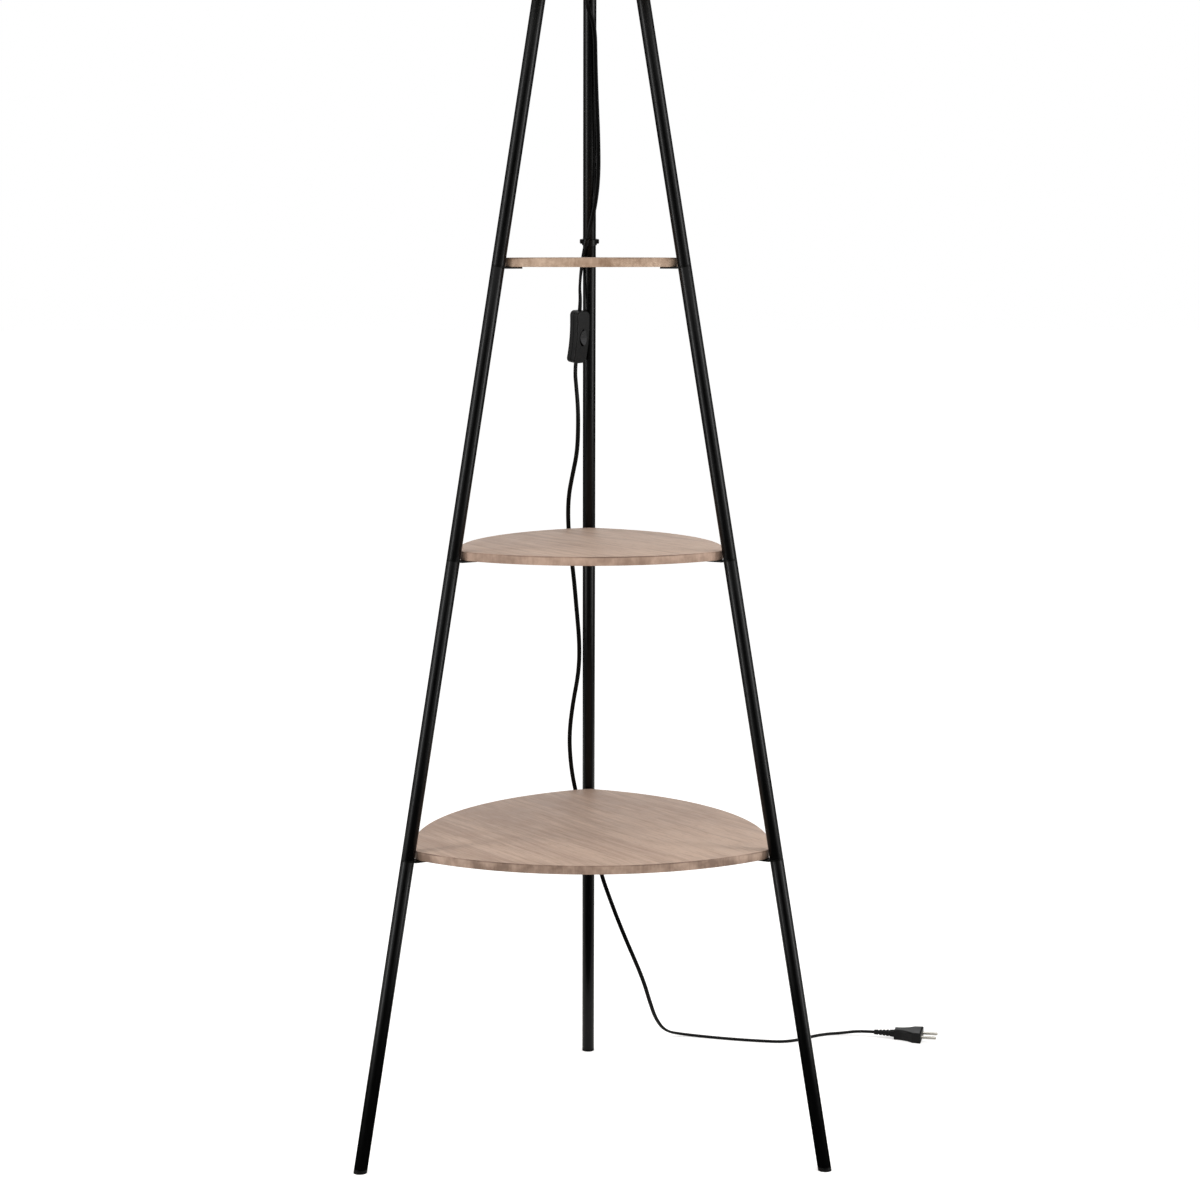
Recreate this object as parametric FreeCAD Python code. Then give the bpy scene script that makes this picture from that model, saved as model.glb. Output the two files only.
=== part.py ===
import FreeCAD, Part
import math
import os

# Shelf floor lamp: three splayed steel legs, three wooden shelf boards, a shade on top.
# Millimetres, +Z up. The origin is the point on the floor under the lamp's centre line.
# The rear leg stands on +Y, the two front legs at 120 degrees to it.

os.makedirs("parts", exist_ok=True)

Vector = FreeCAD.Vector
Placement = FreeCAD.Placement
Rotation = FreeCAD.Rotation

# ---- driving dimensions -------------------------------------------------------------

# legs
tube_diameter = 15.0
tube_wall = 1.2
foot_circle_radius = 297.5          # leg centre lines at the floor
leg_splay = 10.24                   # degrees between a leg and the vertical
leg_names = ("rear", "left", "right")
sole_thickness = 2.0                # foot cap under the tube, at its thin side
cap_plug_length = 18.0
cap_plug_slots = 2

# joints in the legs
stud_diameter = 8.0
stud_length = 30.0
insert_length = 16.0
bracket_thickness = 2.0
bracket_width = 13.0
bracket_reach = 22.0                # tab length past the tube's surface
bracket_screw_inset = 13.0          # screw centre from the tube's surface

# shelves
shelf_undersides = {"bottom": 345.0, "middle": 674.5, "top": 994.5}
board_thickness = 10.0
board_bulges = {"bottom": 71.8, "middle": 52.9, "top": 34.6}   # rise of each curved edge over its chord
board_corner_round = 15.0
board_edge_round = 1.0
board_clearance = 0.5               # board corner to leg
screw_diameter = 3.4
screw_length = 9.0
screw_point = 2.4
screw_head_diameter = 6.8

# leg head
head_underside = 1372.0
head_thickness = 8.0
head_margin = 4.0                   # rim outside the leg bosses
head_edge_round = 2.5
leg_boss_drop = 10.0                # leg bosses below the disc, on the leg's centre line
pipe_boss_radius = 13.0
pipe_boss_height = 8.0

# lamp pipe and its nuts
pipe_diameter = 10.0
pipe_bore = 7.6
pipe_nut_width = 14.0               # across flats
pipe_nut_height = 5.0
bush_length = 22.0
bush_collar = 4.0
bush_tip_diameter = 6.4

# lamp holder, E27
holder_cap_height = 25.0
holder_neck_height = 9.0
holder_neck_radius = 7.5
holder_wall = 2.2
holder_body_height = 37.0
holder_thread_radius = 19.5
holder_flange_radius = 22.5
holder_flange_rise = 10.0           # flange above the joint of cap and body
holder_flange_thickness = 2.5
insulator_height = 8.0
screw_shell_radius = 13.8
screw_shell_wall = 0.4
screw_shell_height = 24.0
contact_rise = 3.0
shade_ring_radius = 26.0
shade_ring_height = 7.0

# shade
shade_bottom_radius = 200.0
shade_top_radius = 170.0
shade_height = 250.0
shade_underside = 1345.0
shade_wall = 1.2
ring_wire = 3.5
ring_inset = 3.0                    # wire ring centre inside the shade's rim
fitter_thickness = 2.0
fitter_outer_radius = 25.0
spider_bearings = [30.0, 150.0, 270.0]

# bulb
bulb_cap_radius = 13.0
bulb_cap_height = 27.0
bulb_neck_radius = 13.6
bulb_neck_length = 5.0
bulb_radius = 30.0
bulb_glass_height = 81.0

# cord
cord_diameter = 4.2                 # round section of the same area as the flat twin cord
cord_clearance = 0.05

# cord clip on the rear leg
clip_over_shelf = 17.5              # clip's middle above the top board
clip_wall = 1.2
clip_ring_height = 6.5
clip_lug_reach = 11.2               # outer faces of its lugs from the leg's centre line
clip_lug_size = 5.2
clip_lug_round = 1.4
clip_saddle_wall = 1.1
clip_cord_gap = 0.25

# in-line switch
switch_length = 61.0
switch_width = 20.5
switch_thickness = 13.5
switch_arch = 2.5                   # rise of the arched body over its length
switch_corner = 6.0
switch_edge_round = 1.6
switch_wall = 1.8
parting_groove = 0.6                # width and depth of the shadow line between the halves
switch_under_shelf = 81.5           # switch's middle below the top board
switch_leg_gap = 2.65               # between the leg and the switch's near side
switch_round_leg = 48.2             # degrees from the leg's left side towards its front
switch_turn = 45.0                  # degrees the front faces round from the lamp's front
switch_lean_side = 4.3
switch_lean_back = 7.4
rocker_opening_length = 20.7
rocker_opening_width = 12.0
rocker_gap_side = 0.7
rocker_gap_end = 1.1
rocker_dish = 1.7
rocker_proud = 2.2                  # ends of the rocker above the case, when level
rocker_depth = 8.45
rocker_travel = 12.0                # degrees from one side to the other
pivot_depth = 4.25                  # pivot behind the front face
pivot_pin_radius = 1.2
pivot_clearance = 0.05
pivot_rib = 7.0
terminal_size = 5.0
terminal_place = 17.0
terminal_x = 4.0
terminal_bore = 3.0
contact_place = 8.0
core_radius = 0.8
through_core_x = -5.4
cord_stub = 8.0                     # sheathed cord inside each end of the case
clamp_length = 7.0
case_screw_place = (6.2, 24.6)
case_screw_radius = 1.05
case_screw_head_radius = 2.1
case_screw_head_height = 1.4
case_screw_length = 10.0
clamp_bar = 2.0

# plug
plug_relief_length = 26.0
plug_relief_tip = 6.2
plug_relief_base = 9.6
plug_body_length = 36.0
plug_width = 35.3
plug_thickness = 13.7
plug_neck_width = 15.0
plug_edge_round = 2.2
pin_diameter = 4.0
pin_length = 19.0
pin_spacing = 18.6
pin_root = 8.0
plug_to_right = 372.0               # where the cord enters the plug
plug_behind_foot = 49.5
plug_heading = -14.0                # degrees from +X

# straight cord at the bush, at the switch and at the plug
bush_run = 14.5
switch_run = 12.0
plug_run = 20.0

# free cord between its fixed ends, points chosen by hand along the photographed line
# above the clip: side, share of the way out to the rear leg, share of the drop to the clip
upper_cord_points = [
    (-1.2, 0.146, 0.058),
    (-2.8, 0.357, 0.085),
    (-4.0, 0.578, 0.103),
    (-1.5, 0.801, 0.143),
    (5.5, 0.864, 0.207),
    (6.4, 0.884, 0.340),
    (8.4, 0.891, 0.483),
    (11.0, 0.917, 0.619),
    (11.4, 0.920, 0.755),
    (6.5, 0.899, 0.867),
]
# through the clip and down to the switch: side, in front of the leg's centre line, below the clip
clip_cord_run = [
    (-0.5, 10.85, -14.0),
    (-5.6, 8.94, 7.0),
]
switch_cord_points = [
    (-9.5, 4.7, 20.0),
    (-12.0, 6.3, 38.0),
    (-11.6, 9.9, 53.0),
]
# below the switch: side, behind the leg's centre line, share of the switch's height
lower_cord_points = [
    (-15.6, -15.9, 0.984),
    (-13.4, -14.2, 0.955),
    (-13.0, -12.9, 0.925),
    (-14.2, -12.3, 0.891),
    (-19.5, -11.5, 0.861),
    (-24.4, -9.9, 0.831),
    (-25.2, -8.3, 0.797),
    (-22.8, -8.4, 0.760),
    (-18.2, -8.3, 0.716),
    (-14.5, -8.7, 0.666),
    (-11.2, -8.9, 0.620),
    (-12.2, -8.0, 0.579),
    (-19.6, -8.7, 0.533),
    (-24.0, -8.9, 0.487),
    (-22.0, -8.2, 0.443),
    (-16.5, -2.9, 0.404),
    (-8.5, 11.8, 0.367),
    (4.0, 16.0, 0.331),
    (16.5, 9.6, 0.271),
    (28.0, 10.0, 0.232),
    (38.2, 11.3, 0.199),
    (49.5, 13.5, 0.165),
    (61.0, 17.3, 0.132),
    (71.5, 23.0, 0.099),
    (79.5, 30.8, 0.065),
    (88.0, 41.7, 0.033),
]
# along the floor: to the right, behind the rear foot, height
floor_cord_points = [
    (101.0, 51.0, 8.5),
    (124.0, 58.3, 2.4),
    (154.0, 48.5, 2.1),
    (190.0, 37.0, 2.1),
    (223.0, 29.3, 2.1),
    (249.0, 25.1, 2.1),
    (269.0, 31.0, 2.1),
    (289.0, 46.5, 2.1),
    (309.0, 58.0, 2.1),
    (330.0, 59.7, 2.5),
]

# ---- values that follow from them ----------------------------------------------------

tube_radius = tube_diameter / 2
tube_bore_radius = tube_radius - tube_wall
fit_gap = 0.05                      # radial gap of pieces pushed or screwed together
splay = math.radians(leg_splay)
rocker_pivot_y = -(switch_arch + switch_thickness / 2) + pivot_depth
leg_bearings = {name: 90.0 + number * 360.0 / len(leg_names) for number, name in enumerate(leg_names)}
top_shelf_underside = shelf_undersides["top"]
clip_height = top_shelf_underside + board_thickness + clip_over_shelf
switch_height = top_shelf_underside - switch_under_shelf
origin = Vector(0, 0, 0)
up = Vector(0, 0, 1)
along_x = Vector(1, 0, 0)
along_y = Vector(0, 1, 0)


def leg_radius(height):
    """Distance of a leg's centre line from the lamp's centre line."""
    return foot_circle_radius - height * math.tan(splay)


def leg_frame(bearing):
    """Frame at a leg's foot point: Z runs up the leg, X points outwards."""
    turn = Rotation(up, bearing).multiply(Rotation(along_y, -leg_splay))
    place = Rotation(up, bearing).multVec(Vector(foot_circle_radius, 0, 0))
    return Placement(place, turn)


def up_the_leg(height):
    """Length along the leg's centre line from the floor to a height."""
    return height / math.cos(splay)


def cylinder(radius, low, high, x=0.0, y=0.0):
    return Part.makeCylinder(radius, high - low, Vector(x, y, low))


def pipe(outer, inner, low, high):
    return cylinder(outer, low, high).cut(cylinder(inner, low - 1, high + 1))


def cross_cylinder(radius, start, direction, length):
    return Part.makeCylinder(radius, length, start, direction)


def turned(profile):
    """Solid of revolution about Z from (radius, height) corners."""
    corners = [Vector(r, 0, z) for r, z in profile]
    face = Part.Face(Part.makePolygon(corners + corners[:1]))
    return face.revolve(origin, up, 360)


def turned_wire(edges):
    """Solid of revolution about Z from edges in the XZ plane."""
    return Part.Face(Part.Wire(edges)).revolve(origin, up, 360)


def chamfered(shape, edges, size):
    return shape.makeChamfer(size, edges)


def circle_edges(shape, radius, tolerance=1e-3):
    """Full circles of one radius."""
    found = []
    for edge in shape.Edges:
        if isinstance(edge.Curve, Part.Circle) and abs(edge.Curve.Radius - radius) < tolerance:
            found.append(edge)
    return found


def save(name, shape):
    shape.exportStep("parts/" + name + ".step")
    print(name, len(shape.Solids), "solid(s)", round(shape.Volume, 1), "mm3")


def group(shapes):
    return Part.makeCompound(shapes)


# ---- legs -----------------------------------------------------------------------------

bend_from_axis = tube_radius        # where the bracket's tab bends level


def joint_height(shelf_underside):
    """Height of the joint's centre: the bracket's tab then lies under the board."""
    return shelf_underside - bracket_thickness / 2 + bend_from_axis * math.sin(splay)


joint_heights = [joint_height(shelf_undersides[name]) for name in ("bottom", "middle", "top")]
head_joint_height = head_underside - leg_boss_drop
foot_end = (sole_thickness + tube_radius * math.sin(splay)) / math.cos(splay)


def section_ends():
    """Lower and upper end of each tube, measured along the leg."""
    half = bracket_thickness / 2
    joints = [up_the_leg(height) for height in joint_heights]
    lows = [foot_end] + [joint + half for joint in joints]
    highs = [joint - half for joint in joints] + [up_the_leg(head_joint_height)]
    return list(zip(lows, highs))


def leg_tube(low, high):
    return pipe(tube_radius, tube_bore_radius, low, high)


def tube_insert(low):
    """Threaded plug in a tube's end; its thread is a plain bore here."""
    sleeve = pipe(tube_bore_radius - fit_gap, stud_diameter / 2 + fit_gap, low, low + insert_length)
    return sleeve


def tube_inserts():
    """Every insert of one leg, in the leg's frame."""
    sleeves = []
    for number, (low, high) in enumerate(section_ends()):
        if number > 0:
            sleeves.append(tube_insert(low))
        sleeves.append(tube_insert(high - insert_length))
    return sleeves


def joint_stud(centre):
    stud = cylinder(stud_diameter / 2, centre - stud_length / 2, centre + stud_length / 2)
    return chamfered(stud, circle_edges(stud, stud_diameter / 2), 0.8)


def foot_cap():
    """Cap at the tube's end with a level sole, and its slotted plug inside the tube."""
    flange = cylinder(tube_radius, foot_end - tube_diameter, foot_end)
    plug = cylinder(tube_bore_radius - fit_gap, foot_end, foot_end + cap_plug_length)
    plug = chamfered(plug, [circle_edges(plug, tube_bore_radius - fit_gap)[0]], 1.2)
    cap = flange.fuse(plug)
    for number in range(cap_plug_slots):
        slot = Part.makeBox(1.6, tube_diameter, cap_plug_length, Vector(-0.8, -tube_radius, foot_end + 3))
        slot.rotate(origin, up, number * 180 / cap_plug_slots)
        cap = cap.cut(slot)
    return cap


def level_sole(cap):
    ground = Part.makeBox(4 * foot_circle_radius, 4 * foot_circle_radius, tube_diameter,
                          Vector(-2 * foot_circle_radius, -2 * foot_circle_radius, -tube_diameter))
    return cap.cut(ground)


def bracket_tab_length():
    return tube_radius / math.cos(splay) - bend_from_axis * math.cos(splay) + bracket_reach


def shelf_bracket():
    """Washer in the joint and a level tab under the board; X outwards, origin in the joint."""
    washer_way = Vector(-math.cos(splay), 0, -math.sin(splay))
    washer_up = Vector(-math.sin(splay), 0, math.cos(splay))
    half = bracket_thickness / 2
    outer_end = washer_way * (-tube_diameter)
    bend = washer_way * bend_from_axis
    tab_end = bend + Vector(-bracket_tab_length(), 0, 0)
    mitre = (washer_up + up) * (half / (1 + washer_up.dot(up)))
    corners = [outer_end + washer_up * half, bend + mitre, tab_end + up * half,
               tab_end - up * half, bend - mitre, outer_end - washer_up * half]
    strip = Part.Face(Part.makePolygon(corners + corners[:1]))
    strip.translate(Vector(0, -tube_diameter, 0))
    plate = strip.extrude(Vector(0, 2 * tube_diameter, 0))
    round_part = Part.makeCylinder(tube_radius, 2 * tube_diameter, washer_up * -tube_diameter, washer_up)
    tab = Part.makeBox(-tab_end.x - bracket_width / 2, bracket_width, tube_diameter,
                       Vector(tab_end.x + bracket_width / 2, -bracket_width / 2, -tube_radius))
    tip = cylinder(bracket_width / 2, -tube_radius, tube_radius, tab_end.x + bracket_width / 2)
    outline = round_part.fuse([tab, tip])
    bracket = plate.common(outline)
    stud_hole = Part.makeCylinder(stud_diameter / 2 + 0.2, 2 * tube_diameter, washer_up * -tube_diameter, washer_up)
    screw_hole = cylinder(screw_diameter / 2 + 0.3, -tube_diameter, tube_diameter, -screw_from_axis())
    countersink = Part.makeCone(screw_head_diameter / 2 + fit_gap, screw_diameter / 2 + fit_gap, screw_sink(),
                                Vector(-screw_from_axis(), 0, bend.z - half))
    return bracket.cut(stud_hole).cut(screw_hole).cut(countersink)


def screw_from_axis():
    """Shelf screw's distance from the leg's centre line, at the joint."""
    return tube_radius / math.cos(splay) + bracket_screw_inset


def joint_place(bearing, height):
    point = Rotation(up, bearing).multVec(Vector(leg_radius(height), 0, height))
    return Placement(point, Rotation(up, bearing))


# ---- shelves --------------------------------------------------------------------------

def corner_reach(underside):
    """Distance of a board's corner from the centre line."""
    top = underside + board_thickness
    return leg_radius(top) - tube_radius / math.cos(splay) - board_clearance


def screw_radius_on_shelf(underside):
    return leg_radius(joint_height(underside)) - screw_from_axis()


def screw_sink():
    """Depth of a shelf screw's countersunk head, its sides at 45 degrees."""
    return (screw_head_diameter - screw_diameter) / 2


def shelf_screw():
    """Countersunk wood screw, point up, its head level with the bracket's underside at zero."""
    head = Part.makeCone(screw_head_diameter / 2, screw_diameter / 2, screw_sink())
    shank = cylinder(screw_diameter / 2, screw_sink(), screw_length - screw_point)
    point = Part.makeCone(screw_diameter / 2, 0, screw_point, Vector(0, 0, screw_length - screw_point))
    return head.fuse([shank, point])


def shelf_board(underside, bulge):
    """Rounded triangle: three bowed edges that meet at the legs."""
    reach = corner_reach(underside)
    middle = reach / 2 + bulge
    edges = []
    for bearing in leg_bearings.values():
        start = Rotation(up, bearing).multVec(Vector(reach, 0, underside))
        crown = Rotation(up, bearing + 60).multVec(Vector(middle, 0, underside))
        end = Rotation(up, bearing + 120).multVec(Vector(reach, 0, underside))
        edges.append(Part.Arc(start, crown, end).toShape())
    board = Part.Face(Part.Wire(edges)).extrude(up * board_thickness)
    upright = [edge for edge in board.Edges if isinstance(edge.Curve, Part.Line)]
    board = board.makeFillet(board_corner_round, upright)
    rims = []
    for edge in board.Edges:
        box = edge.BoundBox
        if box.ZLength < 1e-6:
            rims.append(edge)
    board = board.makeFillet(board_edge_round, rims)
    for bearing in leg_bearings.values():
        place = Rotation(up, bearing).multVec(Vector(screw_radius_on_shelf(underside), 0, underside))
        depth = screw_length - bracket_thickness + 0.4
        board = board.cut(cylinder(screw_diameter / 2 + fit_gap, underside - 1, underside + depth,
                                   place.x, place.y))
    return board


# ---- leg head and lamp pipe -------------------------------------------------------------

head_top = head_underside + head_thickness
pipe_boss_bottom = head_underside - pipe_boss_height
lower_nut_bottom = pipe_boss_bottom - pipe_nut_height
pipe_bottom = lower_nut_bottom - 3.0
bush_bottom = pipe_bottom + bush_collar - bush_length
holder_bottom = head_top + pipe_nut_height
pipe_top = holder_bottom + holder_neck_height


def leg_head():
    """Cast disc with a slanted boss for each leg and a boss for the lamp pipe."""
    radius = leg_radius(head_underside) + tube_radius + head_margin
    disc = cylinder(radius, head_underside, head_top)
    disc = disc.makeFillet(head_edge_round, circle_edges(disc, radius))
    head = disc.fuse(cylinder(pipe_boss_radius, pipe_boss_bottom, head_underside))
    start = up_the_leg(head_joint_height)
    for bearing in leg_bearings.values():
        boss = cylinder(tube_radius, start, start + leg_boss_drop + head_thickness / 2)
        boss.Placement = leg_frame(bearing)
        head = head.fuse(boss)
    for bearing in leg_bearings.values():
        hole = cylinder(stud_diameter / 2 + fit_gap, start - 1, start + stud_length / 2)
        hole.Placement = leg_frame(bearing)
        head = head.cut(hole)
    head = head.cut(cylinder(pipe_diameter / 2 + fit_gap, pipe_boss_bottom - 1, head_top + 1))
    return head


def lamp_pipe():
    return pipe(pipe_diameter / 2, pipe_bore / 2, pipe_bottom, pipe_top)


def pipe_nut(low):
    flats = []
    for number in range(6):
        corner = Rotation(up, number * 60).multVec(Vector(pipe_nut_width / math.sqrt(3), 0, low))
        flats.append(corner)
    nut = Part.Face(Part.makePolygon(flats + flats[:1])).extrude(up * pipe_nut_height)
    return nut.cut(cylinder(pipe_diameter / 2 + fit_gap, low - 1, low + pipe_nut_height + 1))


def cord_bush():
    """Tapered bush on the pipe's lower end; the cord comes out of its tip."""
    collar_radius = pipe_diameter / 2 + 1.6
    bore = cord_diameter / 2 + cord_clearance
    shoulder = pipe_bottom + bush_collar - 1.0
    profile = [(bore, bush_bottom), (bush_tip_diameter / 2, bush_bottom),
               (collar_radius, pipe_bottom - 6.0), (collar_radius, shoulder),
               (pipe_diameter / 2 + fit_gap, shoulder), (pipe_diameter / 2 + fit_gap, pipe_bottom),
               (pipe_bore / 2 - fit_gap, pipe_bottom), (pipe_bore / 2 - fit_gap, pipe_bottom + 8.0),
               (bore, pipe_bottom + 8.0)]
    return turned(profile)


# ---- lamp holder ------------------------------------------------------------------------

cap_top = holder_bottom + holder_cap_height
holder_top = cap_top + holder_body_height
flange_bottom = cap_top + holder_flange_rise
flange_top = flange_bottom + holder_flange_thickness
holder_bore_radius = screw_shell_radius + 0.6
insulator_bottom = cap_top - 4.0
insulator_top = insulator_bottom + insulator_height
lead_spread = 7.0


def holder_cap():
    """Domed cap on the lamp pipe."""
    outer = holder_thread_radius
    bore = pipe_diameter / 2 + fit_gap
    neck = holder_neck_radius
    shoulder = holder_bottom + holder_neck_height
    dome_top = shoulder + 8.0
    inside = outer - holder_wall
    points = [Vector(bore, 0, holder_bottom), Vector(neck, 0, holder_bottom), Vector(neck, 0, shoulder)]
    edges = [Part.LineSegment(a, b).toShape() for a, b in zip(points[:-1], points[1:])]
    edges.append(Part.Arc(Vector(neck, 0, shoulder),
                          Vector(outer - 3.2, 0, shoulder + 2.4),
                          Vector(outer, 0, dome_top)).toShape())
    ceiling = shoulder + holder_wall
    seat = insulator_bottom
    step = 1.2
    rest = [Vector(outer, 0, dome_top), Vector(outer, 0, cap_top), Vector(inside, 0, cap_top),
            Vector(inside, 0, seat), Vector(inside - step, 0, seat), Vector(inside - step, 0, dome_top),
            Vector(neck + 2.0, 0, ceiling), Vector(bore, 0, ceiling), Vector(bore, 0, holder_bottom)]
    edges += [Part.LineSegment(a, b).toShape() for a, b in zip(rest[:-1], rest[1:])]
    return turned_wire(edges)


def holder_body():
    """Outer sleeve with the shade flange; the shade ring's thread is left plain."""
    outer = holder_thread_radius
    profile = [(holder_bore_radius, cap_top), (outer, cap_top), (outer, flange_bottom),
               (holder_flange_radius, flange_bottom), (holder_flange_radius, flange_top),
               (outer, flange_top), (outer, holder_top - 1.0), (outer - 1.0, holder_top),
               (holder_bore_radius + 0.8, holder_top), (holder_bore_radius, holder_top - 0.8)]
    return turned(profile)


def holder_insulator():
    """Inner block that carries the screw shell and the contact."""
    low_radius = holder_thread_radius - holder_wall - fit_gap
    high_radius = holder_bore_radius - fit_gap
    block = cylinder(low_radius, insulator_bottom, cap_top)
    block = block.fuse(cylinder(high_radius, cap_top, insulator_top))
    for side in (-1, 1):
        block = block.cut(cylinder(1.3, insulator_bottom - 1, insulator_top + 1, side * lead_spread))
    return block


def holder_screw_shell():
    """Brass screw shell, its thread rolled to plain rings here."""
    outer = screw_shell_radius
    inner = screw_shell_radius - screw_shell_wall
    low = insulator_top
    high = low + screw_shell_height
    profile = [(outer - 3.5, low), (outer, low), (outer, high), (inner, high),
               (inner, low + screw_shell_wall), (outer - 3.5, low + screw_shell_wall)]
    return turned(profile)


def holder_contact():
    """Sprung centre contact: a bowed brass strip."""
    half = 4.6
    thickness = 0.6
    low = insulator_top
    outside = Part.Arc(Vector(-half, 0, low), Vector(0, 0, low + contact_rise), Vector(half, 0, low)).toShape()
    inside = Part.Arc(Vector(half - thickness, 0, low), Vector(0, 0, low + contact_rise - thickness),
                      Vector(-half + thickness, 0, low)).toShape()
    ends = [Part.LineSegment(Vector(half, 0, low), Vector(half - thickness, 0, low)).toShape(),
            Part.LineSegment(Vector(-half + thickness, 0, low), Vector(-half, 0, low)).toShape()]
    strip = Part.Face(Part.Wire([outside, ends[0], inside, ends[1]]))
    strip.translate(Vector(0, -2.5, 0))
    return strip.extrude(Vector(0, 5.0, 0))


def holder_leads():
    """End of the cord inside the pipe, and its two cores up to the insulator."""
    sheath_top = holder_bottom + holder_neck_height + 1.0
    sheath = cylinder(cord_diameter / 2, bush_bottom, sheath_top)
    leads = sheath
    for side in (-1, 1):
        foot = Vector(side * 0.95, 0, sheath_top - 1.0)
        knee = Vector(side * lead_spread, 0, insulator_bottom - 2.0)
        head = Vector(side * lead_spread, 0, insulator_top - 1.0)
        slant = cross_cylinder(0.9, foot, knee - foot, (knee - foot).Length)
        leads = leads.fuse([slant, Part.makeSphere(0.9, knee), cross_cylinder(0.9, knee, up, (head - knee).Length)])
    return leads


def shade_ring():
    inner = holder_thread_radius + fit_gap
    low = flange_top + fitter_thickness
    high = low + shade_ring_height
    outer = shade_ring_radius
    return turned([(inner, low), (outer, low), (outer, low + 2.0), (outer - 3.0, low + 2.6),
                   (outer - 3.0, high - 0.8), (outer - 3.8, high), (inner, high)])


# ---- shade ----------------------------------------------------------------------------

def shade_radius(height):
    """Outer radius of the cover at a height above its lower rim."""
    return shade_bottom_radius + (shade_top_radius - shade_bottom_radius) * height / shade_height


def shade_cover():
    low = shade_underside
    high = shade_underside + shade_height
    return turned([(shade_bottom_radius - shade_wall, low), (shade_bottom_radius, low),
                   (shade_top_radius, high), (shade_top_radius - shade_wall, high)])


def wire_ring(height):
    """Hoop against the inside of the cover, at a height above its lower rim."""
    radius = shade_radius(height) - shade_wall - ring_wire / 2 - 0.3
    return Part.makeTorus(radius, ring_wire / 2, Vector(0, 0, shade_underside + height)), radius


def shade_upper_ring():
    return wire_ring(shade_height - ring_inset)[0]


def shade_lower_frame():
    """Lower hoop, three spider arms and the fitter ring, welded together."""
    hoop, radius = wire_ring(ring_inset)
    fitter = pipe(fitter_outer_radius, holder_thread_radius + 0.6, flange_top, flange_top + fitter_thickness)
    frame = hoop.fuse(fitter)
    for bearing in spider_bearings:
        inner_end = Vector(fitter_outer_radius - 1.0, 0, flange_top + fitter_thickness / 2)
        outer_end = Vector(radius, 0, shade_underside + ring_inset)
        arm = cross_cylinder(ring_wire / 2 * 0.8, inner_end, outer_end - inner_end, (outer_end - inner_end).Length)
        arm.rotate(origin, up, bearing)
        frame = frame.fuse(arm)
    keep_clear = cylinder(shade_ring_radius + 3.0, flange_top + fitter_thickness, flange_top + 20)
    frame = frame.cut(keep_clear)
    keep_under = cylinder(holder_flange_radius + 0.3, flange_top - 10, flange_top)
    return frame.cut(keep_under)


# ---- bulb -----------------------------------------------------------------------------

bulb_bottom = insulator_top + contact_rise + 0.2
bulb_cap_top = bulb_bottom + bulb_cap_height


def bulb_cap():
    """E27 screw cap, with its contact button at the bottom."""
    low = bulb_bottom
    profile = [(0, low), (3.6, low), (4.6, low + 1.0), (9.0, low + 2.6), (bulb_cap_radius, low + 5.0),
               (bulb_cap_radius, bulb_cap_top), (0, bulb_cap_top)]
    return turned(profile)


def bulb_glass():
    """Pear-shaped glass: a short neck that swells into the globe."""
    low = bulb_cap_top
    top = low + bulb_glass_height
    centre = top - bulb_radius
    side = Vector(bulb_radius * math.cos(math.radians(25)), 0, centre - bulb_radius * math.sin(math.radians(25)))
    globe = Part.Arc(Vector(0, 0, top), Vector(bulb_radius, 0, centre), side).toShape()
    neck_top = Vector(bulb_neck_radius, 0, low + bulb_neck_length)
    neck_foot = Vector(bulb_neck_radius, 0, low)
    middle = Vector((side.x + bulb_neck_radius) / 2 - 1.4, 0, (side.z + neck_top.z) / 2 + 1.0)
    swell = Part.Arc(side, middle, neck_top).toShape()
    neck_line = Part.LineSegment(neck_top, neck_foot).toShape()
    floor_line = Part.LineSegment(neck_foot, Vector(0, 0, low)).toShape()
    axis_line = Part.LineSegment(Vector(0, 0, low), Vector(0, 0, top)).toShape()
    return turned_wire([globe, swell, neck_line, floor_line, axis_line])


# ---- cord -----------------------------------------------------------------------------

def cord_tube(name, points):
    """Round tube along straight runs joined by arcs as large as the runs allow."""
    share = 0.45
    edges = []
    last = points[0]
    radii = []
    for before, here, after in zip(points[:-2], points[1:-1], points[2:]):
        back = before - here
        forward = after - here
        cut = share * min(back.Length, forward.Length)
        back.normalize()
        forward.normalize()
        half_turn = (math.pi - back.getAngle(forward)) / 2
        radius = cut / math.tan(half_turn)
        radii.append(radius)
        start = here + back * cut
        end = here + forward * cut
        inward = back + forward
        inward.normalize()
        centre = here + inward * math.hypot(radius, cut)
        middle = centre - inward * radius
        edges.append(Part.LineSegment(last, start).toShape())
        edges.append(Part.Arc(start, middle, end).toShape())
        last = end
    edges.append(Part.LineSegment(last, points[-1]).toShape())
    path = Part.Wire(edges)
    section = Part.Circle(points[0], points[1] - points[0], cord_diameter / 2).toShape()
    tube = path.makePipeShell([Part.Wire([section])], True, False)
    expected = math.pi * (cord_diameter / 2) ** 2 * path.Length
    runs = [(b - a).Length for a, b in zip(points[:-1], points[1:])]
    print(name, "length", round(path.Length, 1), "volume over section x length",
          round(tube.Volume / expected, 4))
    print(name, "radii", [round(value) for value in radii])
    print(name, "runs", [round(value) for value in runs])
    print(name, "points in metres", [tuple(round(value / 1000, 5) for value in point) for point in points])
    return tube


def switch_centre():
    """The switch hangs in front of the rear leg, a little to its left."""
    away = tube_radius + switch_leg_gap + switch_width / 2
    way = math.radians(switch_round_leg)
    leg_y = leg_radius(switch_height)
    return Vector(-away * math.cos(way), leg_y - away * math.sin(way), switch_height)


def switch_place():
    lean = Rotation(along_y, switch_lean_side).multiply(Rotation(along_x, switch_lean_back))
    return Placement(switch_centre(), lean.multiply(Rotation(up, switch_turn)))


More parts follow.
